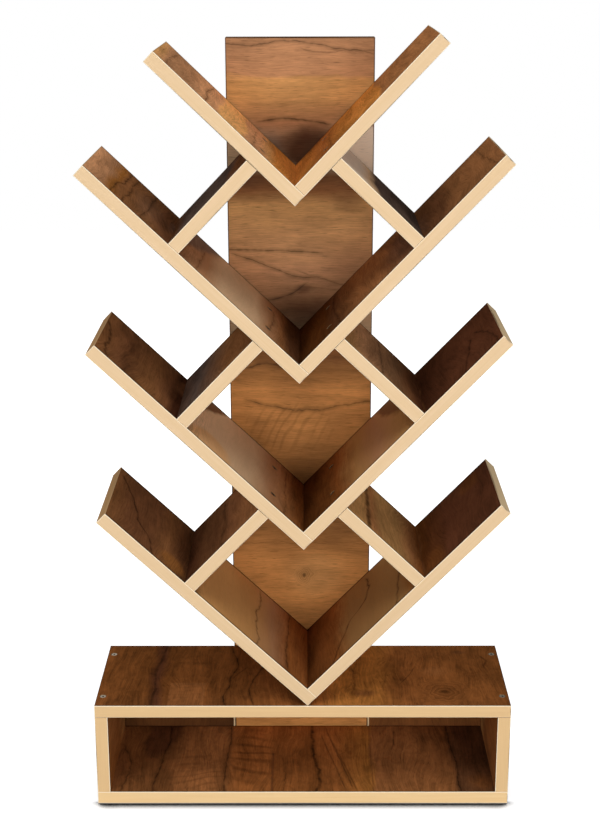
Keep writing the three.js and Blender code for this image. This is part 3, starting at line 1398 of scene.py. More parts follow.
@dataclass(frozen=True)
class Board:
    """One board: particle board with laminate on both faces, and a strip of banding on each finished edge.

    Attributes:
        node: The CAD node that it stands for, and the stem of its pieces' names.
        lay: How it lies.
        cut: The print on its seen face.
        edges: The finishes of its edges.
        slot: The record's material slot. It is not used.
        band: The thickness of the banding, in mm.
        arris: The radius of the banding's outer arrises, in mm.
        reach: How much thicker the tan banding on its ends is, in mm.
        lift: How much thicker the banding on its front edge is, in mm.
    """

    node: str
    lay: Lay
    cut: Print
    edges: Edges = Edges()
    slot: str = "dark_laminate"
    band: float = 1.0
    arris: float = 0.8
    reach: float = 0.0
    lift: float = 0.0

    def inset(self, edge: Band) -> float:
        """Gives how far an edge's banding stands out from the body, in metres."""
        return 0.0 if edge is Band.RAW else self.band * MM

    def build(self, finishes: Finishes, tan: TanBanding, kit: ScrewKit) -> None:
        """Builds the board's pieces.

        Args:
            finishes: The shared finishes.
            tan: Its tan banding.
            kit: The screws, whose holes are cut.
        """
        placement = Placement.measure(self.node, self.lay)
        body = self.build_body(placement, finishes, kit)
        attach(body, BODY)
        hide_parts(self.node)
        log.info("board %s: %d faces", body.name, len(body.data.polygons))
        banding = self.build_banding(placement, finishes, tan)
        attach(banding, BODY)
        log.info("banding %s: %d faces", banding.name, len(banding.data.polygons))

    def build_body(self, placement: Placement, finishes: Finishes, kit: ScrewKit) -> Object:
        """Builds the particle board with its laminate and screw holes.

        Args:
            placement: Where the board lies.
            finishes: The shared finishes.
            kit: The screws.

        Returns:
            The body.
        """
        work = bmesh.new()
        edges = self.edges
        low = (self.inset(edges.start), self.inset(edges.back), 0.0)
        high = (placement.width - self.inset(edges.end), placement.depth - self.inset(edges.front),
                placement.thickness)
        block(work, placement, low, high)
        bmesh.ops.recalc_face_normals(work, faces=work.faces)
        mesh = finished(work, self.node + "_body")
        laminate = WalnutLaminate(f"walnut_laminate_{self.node}", self.cut).build()
        skins = [laminate, finishes.unseen, finishes.core]
        body = new_object(self.node + "_panel", mesh, skins)
        drill = kit.drill()
        for screw in kit.screws:
            if screw.passes(placement, kit.length * MM):
                cutter = new_object("hole", drill.copy(), [])
                cutter.matrix_world = screw.matrix()
                cut_away(body, cutter)
        bpy.data.meshes.remove(drill)
        self.map_body(body.data, placement, skins)
        return body

    def map_body(self, mesh: Mesh, placement: Placement, skins: list[Material]) -> None:
        """Gives the body its UV map in mm and its materials by face.

        Args:
            mesh: The body's mesh.
            placement: Where the board lies.
            skins: The materials, by slot.
        """
        mesh.materials.clear()
        for skin in skins:
            mesh.materials.append(skin)
        uv = mesh.uv_layers.new(name=SHEET_MAP)
        offset = sum(map(ord, self.node)) * 37 % 700
        for face in mesh.polygons:
            places = [placement.place(mesh.vertices[i].co) for i in face.vertices]
            below = [place[2] for place in places]
            flat = max(below) - min(below) < FLUSH
            seen = flat and max(below) < FLUSH
            unseen = flat and min(below) > placement.thickness - FLUSH
            face.material_index = Skin.SEEN if seen else Skin.UNSEEN if unseen else Skin.CORE
            shift = 0 if seen else offset
            for loop, place in zip(face.loop_indices, places):
                uv.data[loop].uv = (place[0] / MM + shift, place[1] / MM + 0.3 * place[2] / MM)

    def build_banding(self, placement: Placement, finishes: Finishes, tan: TanBanding) -> Object:
        """Builds the strips of banding: those on the ends first, then the front and back ones over them.

        Args:
            placement: Where the board lies.
            finishes: The shared finishes.
            tan: Its tan banding.

        Returns:
            One piece with all strips of the board.
        """
        width, depth, thick = placement.width, placement.depth, placement.thickness
        edges, band = self.edges, self.band * MM
        near, far = self.inset(edges.back), depth - self.inset(edges.front)
        before, after = (self.reach * MM * (edge is Band.TAN) for edge in (edges.start, edges.end))
        strips = [
            (edges.start, 0, 0, (-before, near, 0.0), (band, far, thick)),
            (edges.end, 0, 1, (width - band, near, 0.0), (width + after, far, thick)),
            (edges.back, 1, 0, (0.0, 0.0, 0.0), (width, band, thick)),
            (edges.front, 1, 1, (0.0, depth - band, 0.0), (width, depth + self.lift * MM, thick)),
        ]
        work = bmesh.new()
        uv = work.loops.layers.uv.new(SHEET_MAP)
        for finish, axis, side, low, high in strips:
            if finish is not Band.RAW:
                slot = Strip.WALNUT if finish is Band.WALNUT else Strip.TAN_END if axis == 0 else Strip.TAN
                self.round_strip(work, block(work, placement, low, high), axis, side, slot)
        bmesh.ops.recalc_face_normals(work, faces=work.faces)
        for face in work.faces:
            normal = face.normal
            along_ends = abs(normal.dot(placement.along)) > abs(normal.dot(placement.across))
            for loop in face.loops:
                place = placement.place(loop.vert.co)
                run = place[0] if along_ends else place[1]
                loop[uv].uv = (run / MM, place[2] / MM)
        return new_object(self.node + "_banding", finished(work, self.node + "_banding"),
                          [tan.edges, finishes.arris, tan.ends, finishes.walnut])

    def round_strip(self, work: BMesh, corners: Corners, axis: int, side: int, slot: Strip) -> None:
        """Rounds a strip's outer arrises, and its corners where two strips meet, and gives it its material.

        Args:
            work: The mesh.
            corners: The strip's corners.
            axis: The direction that it faces: 0 across the grain and 1 along it.
            side: The end of that direction that it is on, 0 or 1.
            slot: Its material slot.
        """
        ends = (self.edges.start, self.edges.end)
        outer = []
        for first, second in combinations(corners, 2):
            apart = [n for n in range(3) if first[n] != second[n]]
            along_strip = apart == [1 - axis]
            banded_corner = axis == 1 and apart == [2] and ends[first[0]] is not Band.RAW
            if first[axis] == side and (along_strip or banded_corner):
                outer.append(work.edges.get((corners[first], corners[second])))
        for face in {face for vertex in corners.values() for face in vertex.link_faces}:
            face.material_index = slot
        rounded = bmesh.ops.bevel(work, geom=outer, offset=self.arris * MM, segments=3, profile=0.5,
                                  affect="EDGES")
        for face in rounded["faces"]:
            face.material_index = Strip.ARRIS if slot is Strip.TAN else slot


# ---------------------------------------------------------------------------------------- sub-assemblies

PRINTS = {
    "trunk": Print(
        stops=(Stop(0, Tone.CARAMEL, 0.95), Stop(98, Tone.CARAMEL, 0.95), Stop(124, Tone.AMBER, 1.35),
               Stop(165, Tone.CARAMEL), Stop(250, Tone.CARAMEL, 1.03), Stop(300, Tone.CARAMEL, 0.6),
               Stop(330, Tone.CARAMEL, 0.7), Stop(400, Tone.CARAMEL, 0.72), Stop(450, Tone.CARAMEL, 0.9),
               Stop(492, Tone.CARAMEL, 1.08), Stop(520, Tone.CARAMEL, 0.63), Stop(548, Tone.WALNUT),
               Stop(574, Tone.SAP, 0.78), Stop(600, Tone.HAZEL, 0.8), Stop(650, Tone.HAZEL, 1.05),
               # Painted shade: the WALNUT band from 750 to 765, near the tops of the struts under the top V.
               Stop(732, Tone.HONEY, 1.08), Stop(750, Tone.WALNUT), Stop(765, Tone.WALNUT, 0.8),
               Stop(778, Tone.SAP, 0.76), Stop(800, Tone.SAP, 0.78), Stop(828, Tone.HAZEL, 0.85),
               Stop(862, Tone.HONEY, 1.06), Stop(884, Tone.HONEY, 1.06), Stop(887, Tone.HAZEL, 1.05),
               Stop(932, Tone.HAZEL, 0.82)),
        veins=(Vein(((925, 0), (923, 35), (928, 70), (925, 105), (919, 135), (916, 180)), 1.3, 5, 0.55, 1.0),
               Vein(((931.4, 0), (931.4, 90), (931.4, 180)), 1.2, 2, 0.5, 0.1),
               Vein(((918, 95), (914, 120), (917, 150), (912, 180)), 1.0, 3, 0.4, 0.8),
               Vein(((833, 45), (836, 75), (834, 95), (830, 120)), 1.8, 5, 0.6, 0.8),
               Vein(((675, 0), (674, 40), (673, 75), (671, 110)), 1.2, 5, 0.6, 0.4),
               Vein(((668, 10), (657, 42), (648, 64), (641, 84), (640, 110)), 1.3, 6, 0.6, 0.8),
               Vein(((609, 40), (612, 58), (618, 76), (628, 92)), 1.4, 5, 0.6, 0.6),
               Vein(((646, 92), (637, 120), (628, 150)), 1.0, 4, 0.4, 0.8),
               Vein(((478, 25), (470, 60), (466, 90), (468, 120), (474, 150), (478, 180)), 1.4, 6, 0.55),
               Vein(((524, 26), (528, 44), (525, 62)), 2.0, 5, 0.5),
               Vein(((112, 0), (106, 60), (113, 110), (119, 180)), 1.0, 3, 0.5),
               Vein(((104, 0), (99, 70), (105, 130), (110, 180)), 1.0, 3, 0.4),
               Vein(((283, 0), (284, 90), (283, 180)), 1.0, 2, 0.2)),
        # Painted shade: the NIGHT patches are shadows in the corners of the two upper Vs, and the UMBER ones
        # shade near the struts' tops.
        # Painted sheen: the grey patch is a haze, and the two pale ones laid over the streaks are a
        # reflection at the right edge beside the upper arms.
        patches=(Patch((800, 50), (30, 36), Tone.SMOKE, 0.75, 1.35, 0.8),
                 Patch((797, 104), (40, 52), Tone.NIGHT, 0.9, 0.8, 0.6),
                 Patch((624, 94), (10, 16), Tone.NIGHT, 0.6, 0.9, 0.8),
                 Patch((596, 108), (28, 50), Tone.NIGHT, 0.6, 0.95, 0.9),
                 Patch((765, 25), (22, 30), Tone.UMBER, 0.7, 0.7, 0.9),
                 Patch((735, 150), (22, 30), Tone.UMBER, 0.5, 0.7, 0.9),
                 Patch((795, 186), (36, 44), Tone.BIRCH, 0.95, 0.98, 0.2, over=True),
                 Patch((588, 186), (30, 38), Tone.SAP, 0.6, 0.8, 0.4, over=True),
                 Patch((240, 110), (45, 55), Tone.HONEY, 0.5, 1.05, 0.8)),
        knots=(Knot((237, 95), 6),),
        ripples=(Ripple((442, 75), (44, 72), 13, -0.55, 0.16),),
        figure=0.06, bend=5.0, contrast=0.8, mottle=0.04, streaks=(1.1, 22.0), edge_lines=0.5, edge_width=1.7,
        depth=180.0, seed=3.0),
    "base_top": Print(
        stops=(Stop(0, Tone.CHESTNUT, 0.95), Stop(35, Tone.CHESTNUT, 0.78), Stop(62, Tone.CHESTNUT, 0.7),
               Stop(74, Tone.NIGHT, 1.2), Stop(84, Tone.CHESTNUT, 0.72), Stop(130, Tone.CHESTNUT),
               Stop(140, Tone.CHESTNUT, 0.78), Stop(168, Tone.CHESTNUT, 0.72), Stop(190, Tone.CHESTNUT),
               # Painted shade: the dip at 256, between lighter stops, at the foot of the lowest V.
               Stop(230, Tone.CHESTNUT, 1.5), Stop(256, Tone.CHESTNUT, 0.85), Stop(271, Tone.CHESTNUT, 1.9),
               Stop(300, Tone.AMBER, 1.45), Stop(330, Tone.AMBER, 1.25), Stop(350, Tone.AMBER),
               Stop(385, Tone.CHESTNUT, 1.25), Stop(430, Tone.CHESTNUT, 1.1),
               Stop(490, Tone.CHESTNUT, 0.85), Stop(517, Tone.CHESTNUT, 0.75)),
        veins=(Vein(((77, 0), (73, 45), (69, 80), (70, 106), (72, 126), (70, 152), (71, 175)),
                    3.0, 12, 0.5, 0.8),
               Vein(((161, 0), (167, 22), (174, 64), (166, 98), (165, 122), (159, 150), (163, 175)),
                    1.8, 6, 0.65, 0.8),
               Vein(((208, 60), (202, 82), (195, 106), (191, 130), (194, 155), (198, 175)), 1.6, 4, 0.6, 0.8),
               Vein(((183, 72), (172, 92), (166, 108)), 1.2, 3, 0.4, 0.6),
               Vein(((322, 70), (325, 108), (321, 140)), 2.5, 7, 0.45),
               Vein(((402, 72), (396, 88), (386, 108)), 1.2, 2.5, 0.5, 0.6),
               Vein(((366, 84), (364, 104), (360, 130)), 1.0, 3, 0.35),
               Vein(((333, 40), (322, 110), (325, 150)), 1.0, 3, 0.3),
               Vein(((495, 38), (498, 50), (496, 62)), 1.8, 4, 0.5)),
        planks=(Plank((90, 135), (111, 180), Tone.WALNUT, 0.5, 1.25),),
        patches=(Patch((345, 95), (17, 26), Tone.AMBER, 0.7, 1.05, 0.9),
                 Patch((385, 125), (26, 40), Tone.CHESTNUT, 0.7, 0.95, 0.6),
                 Patch((335, 140), (22, 14), Tone.UMBER, 0.6, 0.95, 0.7),
                 Patch((321, 150), (8, 12), Tone.AMBER, 0.7, 1.2, 0.7),
                 Patch((440, 138), (30, 30), Tone.CHESTNUT, 0.6, 0.9, 0.9),
                 Patch((430, 78), (24, 22), Tone.WALNUT, 0.5, 1.25, 0.9),
                 Patch((465, 22), (14, 8), Tone.UMBER, 0.5, 0.8, 0.8)),
        knots=(Knot((437, 137), 14), Knot((323, 131), 4)),
        ripples=(Ripple((112, 60), (34, 60), 26, 0.05, 0.12),
                 Ripple((112, 145), (30, 40), 9, 0.05, 0.08)),
        figure=0.08, contrast=1.05, mottle=0.14, edge_width=3.0, seed=7.0),
    "base_bottom": Print(
        stops=(Stop(0, Tone.WALNUT, 1.3), Stop(40, Tone.WALNUT), Stop(84, Tone.WALNUT, 0.8),
               Stop(98, Tone.WALNUT, 1.3), Stop(136, Tone.WALNUT, 1.65), Stop(158, Tone.WALNUT, 1.15),
               Stop(175, Tone.CHESTNUT, 1.4), Stop(218, Tone.CHESTNUT, 1.4), Stop(224, Tone.CHESTNUT, 1.15),
               Stop(246, Tone.CHESTNUT, 1.35), Stop(268, Tone.CHESTNUT, 1.05), Stop(300, Tone.CHESTNUT, 1.5),
               Stop(345, Tone.AMBER, 0.9), Stop(350, Tone.WALNUT, 1.3), Stop(400, Tone.WALNUT, 1.4),
               # Painted shade: from 460 to the right end the tones darken near the right side.
               Stop(450, Tone.WALNUT, 1.1), Stop(460, Tone.BARK, 0.95), Stop(482, Tone.BARK, 0.65),
               Stop(517, Tone.BARK, 0.5)),
        veins=(Vein(((78, 0), (81, 45), (76, 75), (74, 110), (69, 150), (68, 175)), 1.8, 5, 0.6, 0.8),
               Vein(((22, 60), (31, 88), (35, 115), (33, 140), (27, 175)), 2.0, 6, 0.5),
               Vein(((161, 0), (162, 40), (160, 80), (159, 110), (158, 150), (160, 175)), 1.8, 7, 0.6, 0.8),
               Vein(((272, 0), (272, 60), (275, 100), (280, 130), (276, 175)), 3.4, 8, 0.65),
               Vein(((290, 10), (300, 60), (311, 110), (321, 160)), 1.3, 3, 0.5, 0.7),
               Vein(((296, 40), (306, 80), (316, 120), (326, 165)), 1.1, 3, 0.45, 0.7),
               Vein(((284, 30), (292, 70), (302, 115), (312, 165)), 1.1, 3, 0.45, 0.7),
               Vein(((381, 20), (380, 52)), 1.8, 4, 0.5, 0.6),
               Vein(((232, 90), (236, 130), (233, 175)), 1.2, 4, 0.4),
               Vein(((453, 0), (455, 60), (459, 110), (457, 150), (459, 175)), 1.8, 6, 0.65, 0.8)),
        planks=(Plank((164, 219), (-5, 180), Tone.CHESTNUT, 0.4, 1.5),
                Plank((218, 221), (76, 180), Tone.NIGHT, 0.5),
                Plank((347, 349), (-5, 180), Tone.NIGHT, 0.35)),
        # Painted shade: the two leaning NIGHT patches, near both sides of the box.
        patches=(Patch((74, 12), (26, 88), Tone.NIGHT, 0.75, 1.1, 0.3, -28),
                 Patch((20, 110), (16, 60), Tone.UMBER, 0.35, 0.8, 0.6),
                 Patch((470, 25), (16, 75), Tone.NIGHT, 0.6, 1.0, 0.8, 30),
                 Patch((488, 150), (24, 30), Tone.CHESTNUT, 0.6, 0.8, 0.8)),
        ripples=(Ripple((192, 95), (34, 110), 22, -0.24, 0.34),
                 Ripple((120, 125), (50, 70), 15, 0.22, 0.2)),
        figure=0.08, contrast=1.05, mottle=0.14, edge_width=3.0, seed=11.0),
    "base_left_side": Print(stops=(Stop(0, Tone.CHESTNUT, 1.05), Stop(104, Tone.WALNUT, 1.15)),
                            patches=(Patch((52, 10), (90, 70), Tone.HONEY, 0.6, 0.72, 0.9),), seed=13.0),
    "base_right_side": Print(stops=(Stop(0, Tone.WALNUT, 1.05), Stop(104, Tone.CHESTNUT, 1.1)),
                             patches=(Patch((52, 0), (90, 60), Tone.HONEY, 0.9, 0.95, 0.9),), seed=17.0),
    # Painted shade: the back boards' tones are darkened, the left one more, inside the box.
    "base_left_back": Print(stops=(Stop(0, Tone.CHESTNUT, 0.3), Stop(40, Tone.CHESTNUT, 0.5),
                                   Stop(120, Tone.CHESTNUT, 0.42), Stop(165, Tone.CHESTNUT, 0.25)),
                            edge_lines=0.0, seed=19.0),
    "base_right_back": Print(stops=(Stop(0, Tone.CHESTNUT, 0.6), Stop(80, Tone.CHESTNUT, 0.75),
                                    Stop(165, Tone.CHESTNUT, 0.7)), edge_lines=0.0, seed=23.0),
    "tier_1_left_arm": Print(
        stops=(Stop(0, Tone.COCOA, 0.9), Stop(30, Tone.BARK), Stop(70, Tone.BARK), Stop(95, Tone.COCOA),
               # Painted shade: the dark stops at 118 and 130, in the corner at the strut's foot. From 150 to
               # 292 the paler, even stretch is a painted sheen.
               Stop(118, Tone.BARK, 0.85), Stop(130, Tone.BARK, 0.6), Stop(155, Tone.HONEY, 1.15),
               Stop(235, Tone.HONEY, 0.97), Stop(275, Tone.HAZEL, 0.85), Stop(300, Tone.CHESTNUT, 1.25),
               Stop(350, Tone.CHESTNUT, 1.4)),
        veins=(Vein(((10, 25), (28, 60), (40, 90), (47, 116), (66, 136), (72, 160), (78, 175)), 2.0, 6, 0.6),
               Vein(((248, 15), (250, 50), (245, 75), (246, 120), (250, 150), (248, 175)), 1.3, 4, 0.5),
               Vein(((301, 0), (300, 45), (298, 100), (297, 130), (303, 175)), 2.2, 7, 0.5)),
        patches=(Patch((106, 150), (26, 28), Tone.AMBER, 0.6, 0.75),),
        figure=0.1, contrast=0.85, mottle=0.06, painted_sheen=(150, 292), seed=29.0),
    "tier_1_right_arm": Print(
        # Painted shade: dark at 0 in the V's corner and at 210 in the corner at the strut's foot. From 64 to
        # 184 the streaks are toned down where a sheen is painted.
        stops=(Stop(0, Tone.CHESTNUT, 0.5), Stop(22, Tone.CHESTNUT, 0.82), Stop(50, Tone.CHESTNUT, 1.15),
               Stop(80, Tone.HONEY, 0.62), Stop(130, Tone.HONEY, 0.66), Stop(165, Tone.HONEY, 0.67),
               Stop(178, Tone.CARAMEL, 0.67), Stop(200, Tone.COCOA, 1.1), Stop(210, Tone.CHESTNUT, 0.5),
               Stop(250, Tone.NIGHT, 1.25), Stop(334, Tone.NIGHT)),
        veins=(Vein(((112, 20), (110, 70), (97, 87), (78, 98), (70, 116), (58, 138), (46, 175)), 1.6, 5, 0.6),
               Vein(((168, 90), (161, 135), (158, 175)), 1.6, 5, 0.5)),
        patches=(Patch((225, 150), (20, 45), Tone.CHESTNUT, 0.7, 0.7),
                 Patch((300, 25), (25, 30), Tone.CHESTNUT, 0.5, 0.6)),
        figure=0.1, contrast=0.85, mottle=0.05, painted_sheen=(64, 184), seed=31.0),
    "tier_2_left_arm": Print(
        # Painted shade: the NIGHT stops at 122 and 132 in the corner at the strut's foot, and the darkening
        # from 325 into the V's corner. From 155 to 280 the pale stops paint a hazy sheen with the streaks
        # toned down; the leaning BARK patch gives it a slanted edge.
        stops=(Stop(0, Tone.COCOA, 0.9), Stop(36, Tone.BARK, 1.1), Stop(44, Tone.BARK, 0.8),
               Stop(85, Tone.COCOA, 0.9), Stop(110, Tone.BARK), Stop(122, Tone.NIGHT, 0.85),
               Stop(132, Tone.NIGHT, 0.85), Stop(155, Tone.SAP, 1.1), Stop(215, Tone.SAP, 0.94),
               Stop(245, Tone.SAP, 0.85), Stop(280, Tone.HAZEL, 0.84), Stop(302, Tone.COCOA, 1.35),
               Stop(325, Tone.CHESTNUT, 0.85), Stop(350, Tone.CHESTNUT, 0.7)),
        veins=(Vein(((4, 50), (12, 88), (14, 115), (13, 145), (20, 175)), 3.0, 6, 0.5),
               Vein(((304, 20), (302, 80), (304, 120), (302, 175)), 1.8, 6, 0.4)),
        patches=(Patch((158, 22), (36, 70), Tone.BARK, 0.9, 1.0, 0.35, -115),
                 Patch((180, 165), (38, 48), Tone.HONEY, 0.6, 1.25, 0.3),
                 Patch((82, 150), (26, 40), Tone.COCOA, 0.7, 1.1)),
        figure=0.1, contrast=0.9, mottle=0.06, painted_sheen=(165, 295), seed=37.0),
    "tier_2_right_arm": Print(
        # Painted shade: dark from 0 to 45 in the V's corner and at 208 in the corner at the strut's foot.
        # From 80 to 180 the streaks are toned down where a sheen is painted; the leaning BARK patch gives it
        # a slanted edge.
        stops=(Stop(0, Tone.CHESTNUT, 0.36), Stop(20, Tone.CHESTNUT, 0.47), Stop(45, Tone.CHESTNUT, 0.7),
               Stop(62, Tone.CHESTNUT, 1.05), Stop(95, Tone.HONEY, 0.8), Stop(130, Tone.HAZEL),
               Stop(170, Tone.HONEY, 0.87), Stop(200, Tone.COCOA), Stop(208, Tone.NIGHT, 0.7),
               Stop(230, Tone.NIGHT, 0.85), Stop(280, Tone.NIGHT, 1.3), Stop(334, Tone.NIGHT, 1.2)),
        veins=(Vein(((293, 80), (287, 110), (279, 140), (272, 175)), 2.0, 5, 0.5),
               Vein(((304, 70), (316, 100), (322, 130), (326, 175)), 2.0, 5, 0.5)),
        patches=(Patch((160, 30), (24, 75), Tone.BARK, 0.8, 0.9, 0.5, 55),),
        figure=0.1, contrast=0.85, mottle=0.06, painted_sheen=(80, 180), seed=41.0),
    "tier_3_left_arm": Print(
        # Painted sheen: from 160 to 285 the pale stops and the leaning grey patch paint a hazy reflection,
        # with the streaks toned down, and the other grey patch a fainter haze. The darkening from 320 into
        # the V's corner is painted shade.
        stops=(Stop(0, Tone.HAZEL, 1.5), Stop(12, Tone.HAZEL, 1.2), Stop(28, Tone.HAZEL),
               Stop(40, Tone.AMBER, 0.85), Stop(50, Tone.COCOA, 1.25),
               Stop(65, Tone.COCOA), Stop(98, Tone.COCOA, 1.15), Stop(110, Tone.BARK, 1.1),
               Stop(130, Tone.BARK), Stop(160, Tone.HAZEL, 0.95), Stop(185, Tone.HAZEL, 1.05),
               Stop(210, Tone.SAP), Stop(262, Tone.SAP), Stop(285, Tone.HAZEL, 0.95),
               Stop(302, Tone.COCOA, 1.15), Stop(320, Tone.BARK, 0.7), Stop(350, Tone.BARK, 0.5)),
        veins=(Vein(((51, 0), (50, 60), (48, 88), (42, 110), (42, 140), (40, 175)), 1.6, 5, 0.55),
               Vein(((64, 0), (60, 60), (62, 100), (58, 150), (58, 175)), 1.6, 5, 0.5),
               Vein(((92, 0), (90, 80), (90, 110), (87, 140), (85, 175)), 1.6, 5, 0.5),
               Vein(((176, 60), (174, 120), (171, 175)), 2.0, 6, 0.35),
               Vein(((290, 40), (290, 90), (285, 140)), 2.0, 6, 0.35)),
        patches=(Patch((168, 18), (34, 110), Tone.SMOKE, 0.7, 1.15, 0.5, -70),
                 Patch((90, 90), (34, 110), Tone.SMOKE, 0.3, 1.1, 0.9)),
        figure=0.1, contrast=0.9, mottle=0.06, painted_sheen=(165, 295), seed=43.0),
    "tier_3_right_arm": Print(
        # Painted shade: dark from 0 to 60 in the V's corner. The grey patch paints a hazy reflection, and the
        # leaning BARK patch gives it a slanted edge.
        stops=(Stop(0, Tone.CHESTNUT, 0.3), Stop(20, Tone.CHESTNUT, 0.45), Stop(45, Tone.CHESTNUT, 0.5),
               Stop(60, Tone.BARK, 0.62), Stop(82, Tone.COCOA, 0.83), Stop(105, Tone.COCOA, 1.35),
               Stop(130, Tone.COCOA, 1.52), Stop(165, Tone.COCOA, 1.15), Stop(200, Tone.COCOA, 0.85),
               Stop(212, Tone.BARK, 0.8), Stop(235, Tone.BARK, 0.9), Stop(262, Tone.COCOA),
               Stop(300, Tone.COCOA, 1.2), Stop(334, Tone.COCOA, 1.2)),
        veins=(Vein(((62, 20), (60, 80), (64, 120), (69, 175)), 1.8, 5, 0.4),
               Vein(((312, 20), (314, 90), (318, 130), (322, 175)), 1.6, 5, 0.4)),
        patches=(Patch((165, 30), (22, 80), Tone.BARK, 0.7, 0.8, 0.5, 45),
                 Patch((180, 110), (48, 100), Tone.SMOKE, 0.4, 1.1, 0.8)),
        seed=47.0),
    "tier_4_left_arm": Print(
        stops=(Stop(0, Tone.HONEY, 1.3), Stop(12, Tone.HAZEL, 1.15), Stop(20, Tone.HAZEL, 0.95),
               Stop(55, Tone.HAZEL, 1.1), Stop(70, Tone.HAZEL, 1.4), Stop(95, Tone.HAZEL, 1.45),
               Stop(100, Tone.HONEY, 1.5), Stop(132, Tone.HONEY, 1.45), Stop(140, Tone.HAZEL, 1.25),
               Stop(158, Tone.HAZEL, 1.2), Stop(172, Tone.HONEY, 0.95), Stop(185, Tone.AMBER, 1.4),
               Stop(230, Tone.AMBER, 1.2)),
        veins=(Vein(((79, 0), (76, 60), (74, 82), (76, 112), (78, 150), (77, 175)), 1.6, 5, 0.55),
               Vein(((150, 40), (149, 80), (151, 120), (147, 175)), 2.0, 5, 0.4),
               Vein(((21, 40), (18, 120), (20, 175)), 1.8, 5, 0.4)),
        seed=53.0),
    "tier_4_right_arm": Print(
        stops=(Stop(0, Tone.AMBER, 1.3), Stop(22, Tone.AMBER), Stop(50, Tone.CHESTNUT, 1.5),
               Stop(75, Tone.AMBER), Stop(92, Tone.AMBER, 1.18), Stop(105, Tone.AMBER, 1.45),
               Stop(136, Tone.AMBER, 1.4), Stop(142, Tone.COCOA, 1.5), Stop(230, Tone.COCOA, 1.6)),
        veins=(Vein(((97, 0), (95, 60), (91, 100)), 1.8, 5, 0.35),
               Vein(((60, 30), (58, 110), (61, 175)), 1.8, 6, 0.35)),
        # Painted shade: the NIGHT patch, in the corner between the V and the trunk.
        patches=(Patch((30, 0), (45, 35), Tone.NIGHT, 0.6, 1.2, 0.9),),
        seed=59.0),
    "tier_1_left_strut": Print(
        stops=(Stop(0, Tone.NIGHT, 0.7), Stop(28, Tone.BARK, 0.7), Stop(60, Tone.BARK, 0.8),
               Stop(78, Tone.BARK, 1.3), Stop(130, Tone.COCOA, 1.7)),
        veins=(Vein(((60, 20), (63, 70), (69, 105), (63, 150), (66, 175)), 4.0, 8, 0.35),), seed=61.0),
    "tier_1_right_strut": Print(
        stops=(Stop(0, Tone.HONEY), Stop(30, Tone.HONEY), Stop(46, Tone.COCOA, 1.7),
               Stop(60, Tone.HONEY, 0.78), Stop(90, Tone.HONEY, 0.72), Stop(112, Tone.COCOA, 1.25),
               Stop(130, Tone.CHESTNUT)),
        veins=(Vein(((38, 30), (38, 90), (37, 175)), 5.0, 7, 0.6),), seed=67.0),
    "tier_2_left_strut": Print(
        # Painted sheen: the grey stop paints a hazy reflection.
        stops=(Stop(-40, Tone.BARK, 0.6), Stop(30, Tone.SMOKE, 0.85), Stop(85, Tone.COCOA),
               Stop(130, Tone.COCOA, 1.05)), seed=71.0),
    "tier_2_right_strut": Print(
        stops=(Stop(0, Tone.HONEY, 0.77), Stop(35, Tone.HAZEL), Stop(55, Tone.HAZEL, 0.66),
               Stop(90, Tone.HAZEL, 0.4), Stop(110, Tone.BARK, 0.9), Stop(130, Tone.NIGHT, 1.2)),
        veins=(Vein(((64, 20), (64, 90), (62, 175)), 2.0, 6, 0.4),), seed=73.0),
    "tier_3_left_strut": Print(
        # Painted sheen: the grey stops paint a hazy reflection.
        stops=(Stop(0, Tone.BARK, 0.7), Stop(20, Tone.SMOKE, 0.85), Stop(80, Tone.SMOKE, 0.8),
               Stop(92, Tone.SMOKE, 0.75), Stop(110, Tone.BARK), Stop(130, Tone.BARK)), seed=79.0),
    "tier_3_right_strut": Print(
        # Painted sheen: the pale stops at its top end paint a shine, with the streaks toned down, and the
        # grey stops a hazy reflection.
        stops=(Stop(0, Tone.BIRCH), Stop(35, Tone.BIRCH, 0.85), Stop(50, Tone.SAP),
               Stop(62, Tone.SMOKE, 0.8), Stop(130, Tone.SMOKE, 0.7)), painted_sheen=(-20, 60), seed=83.0),
}


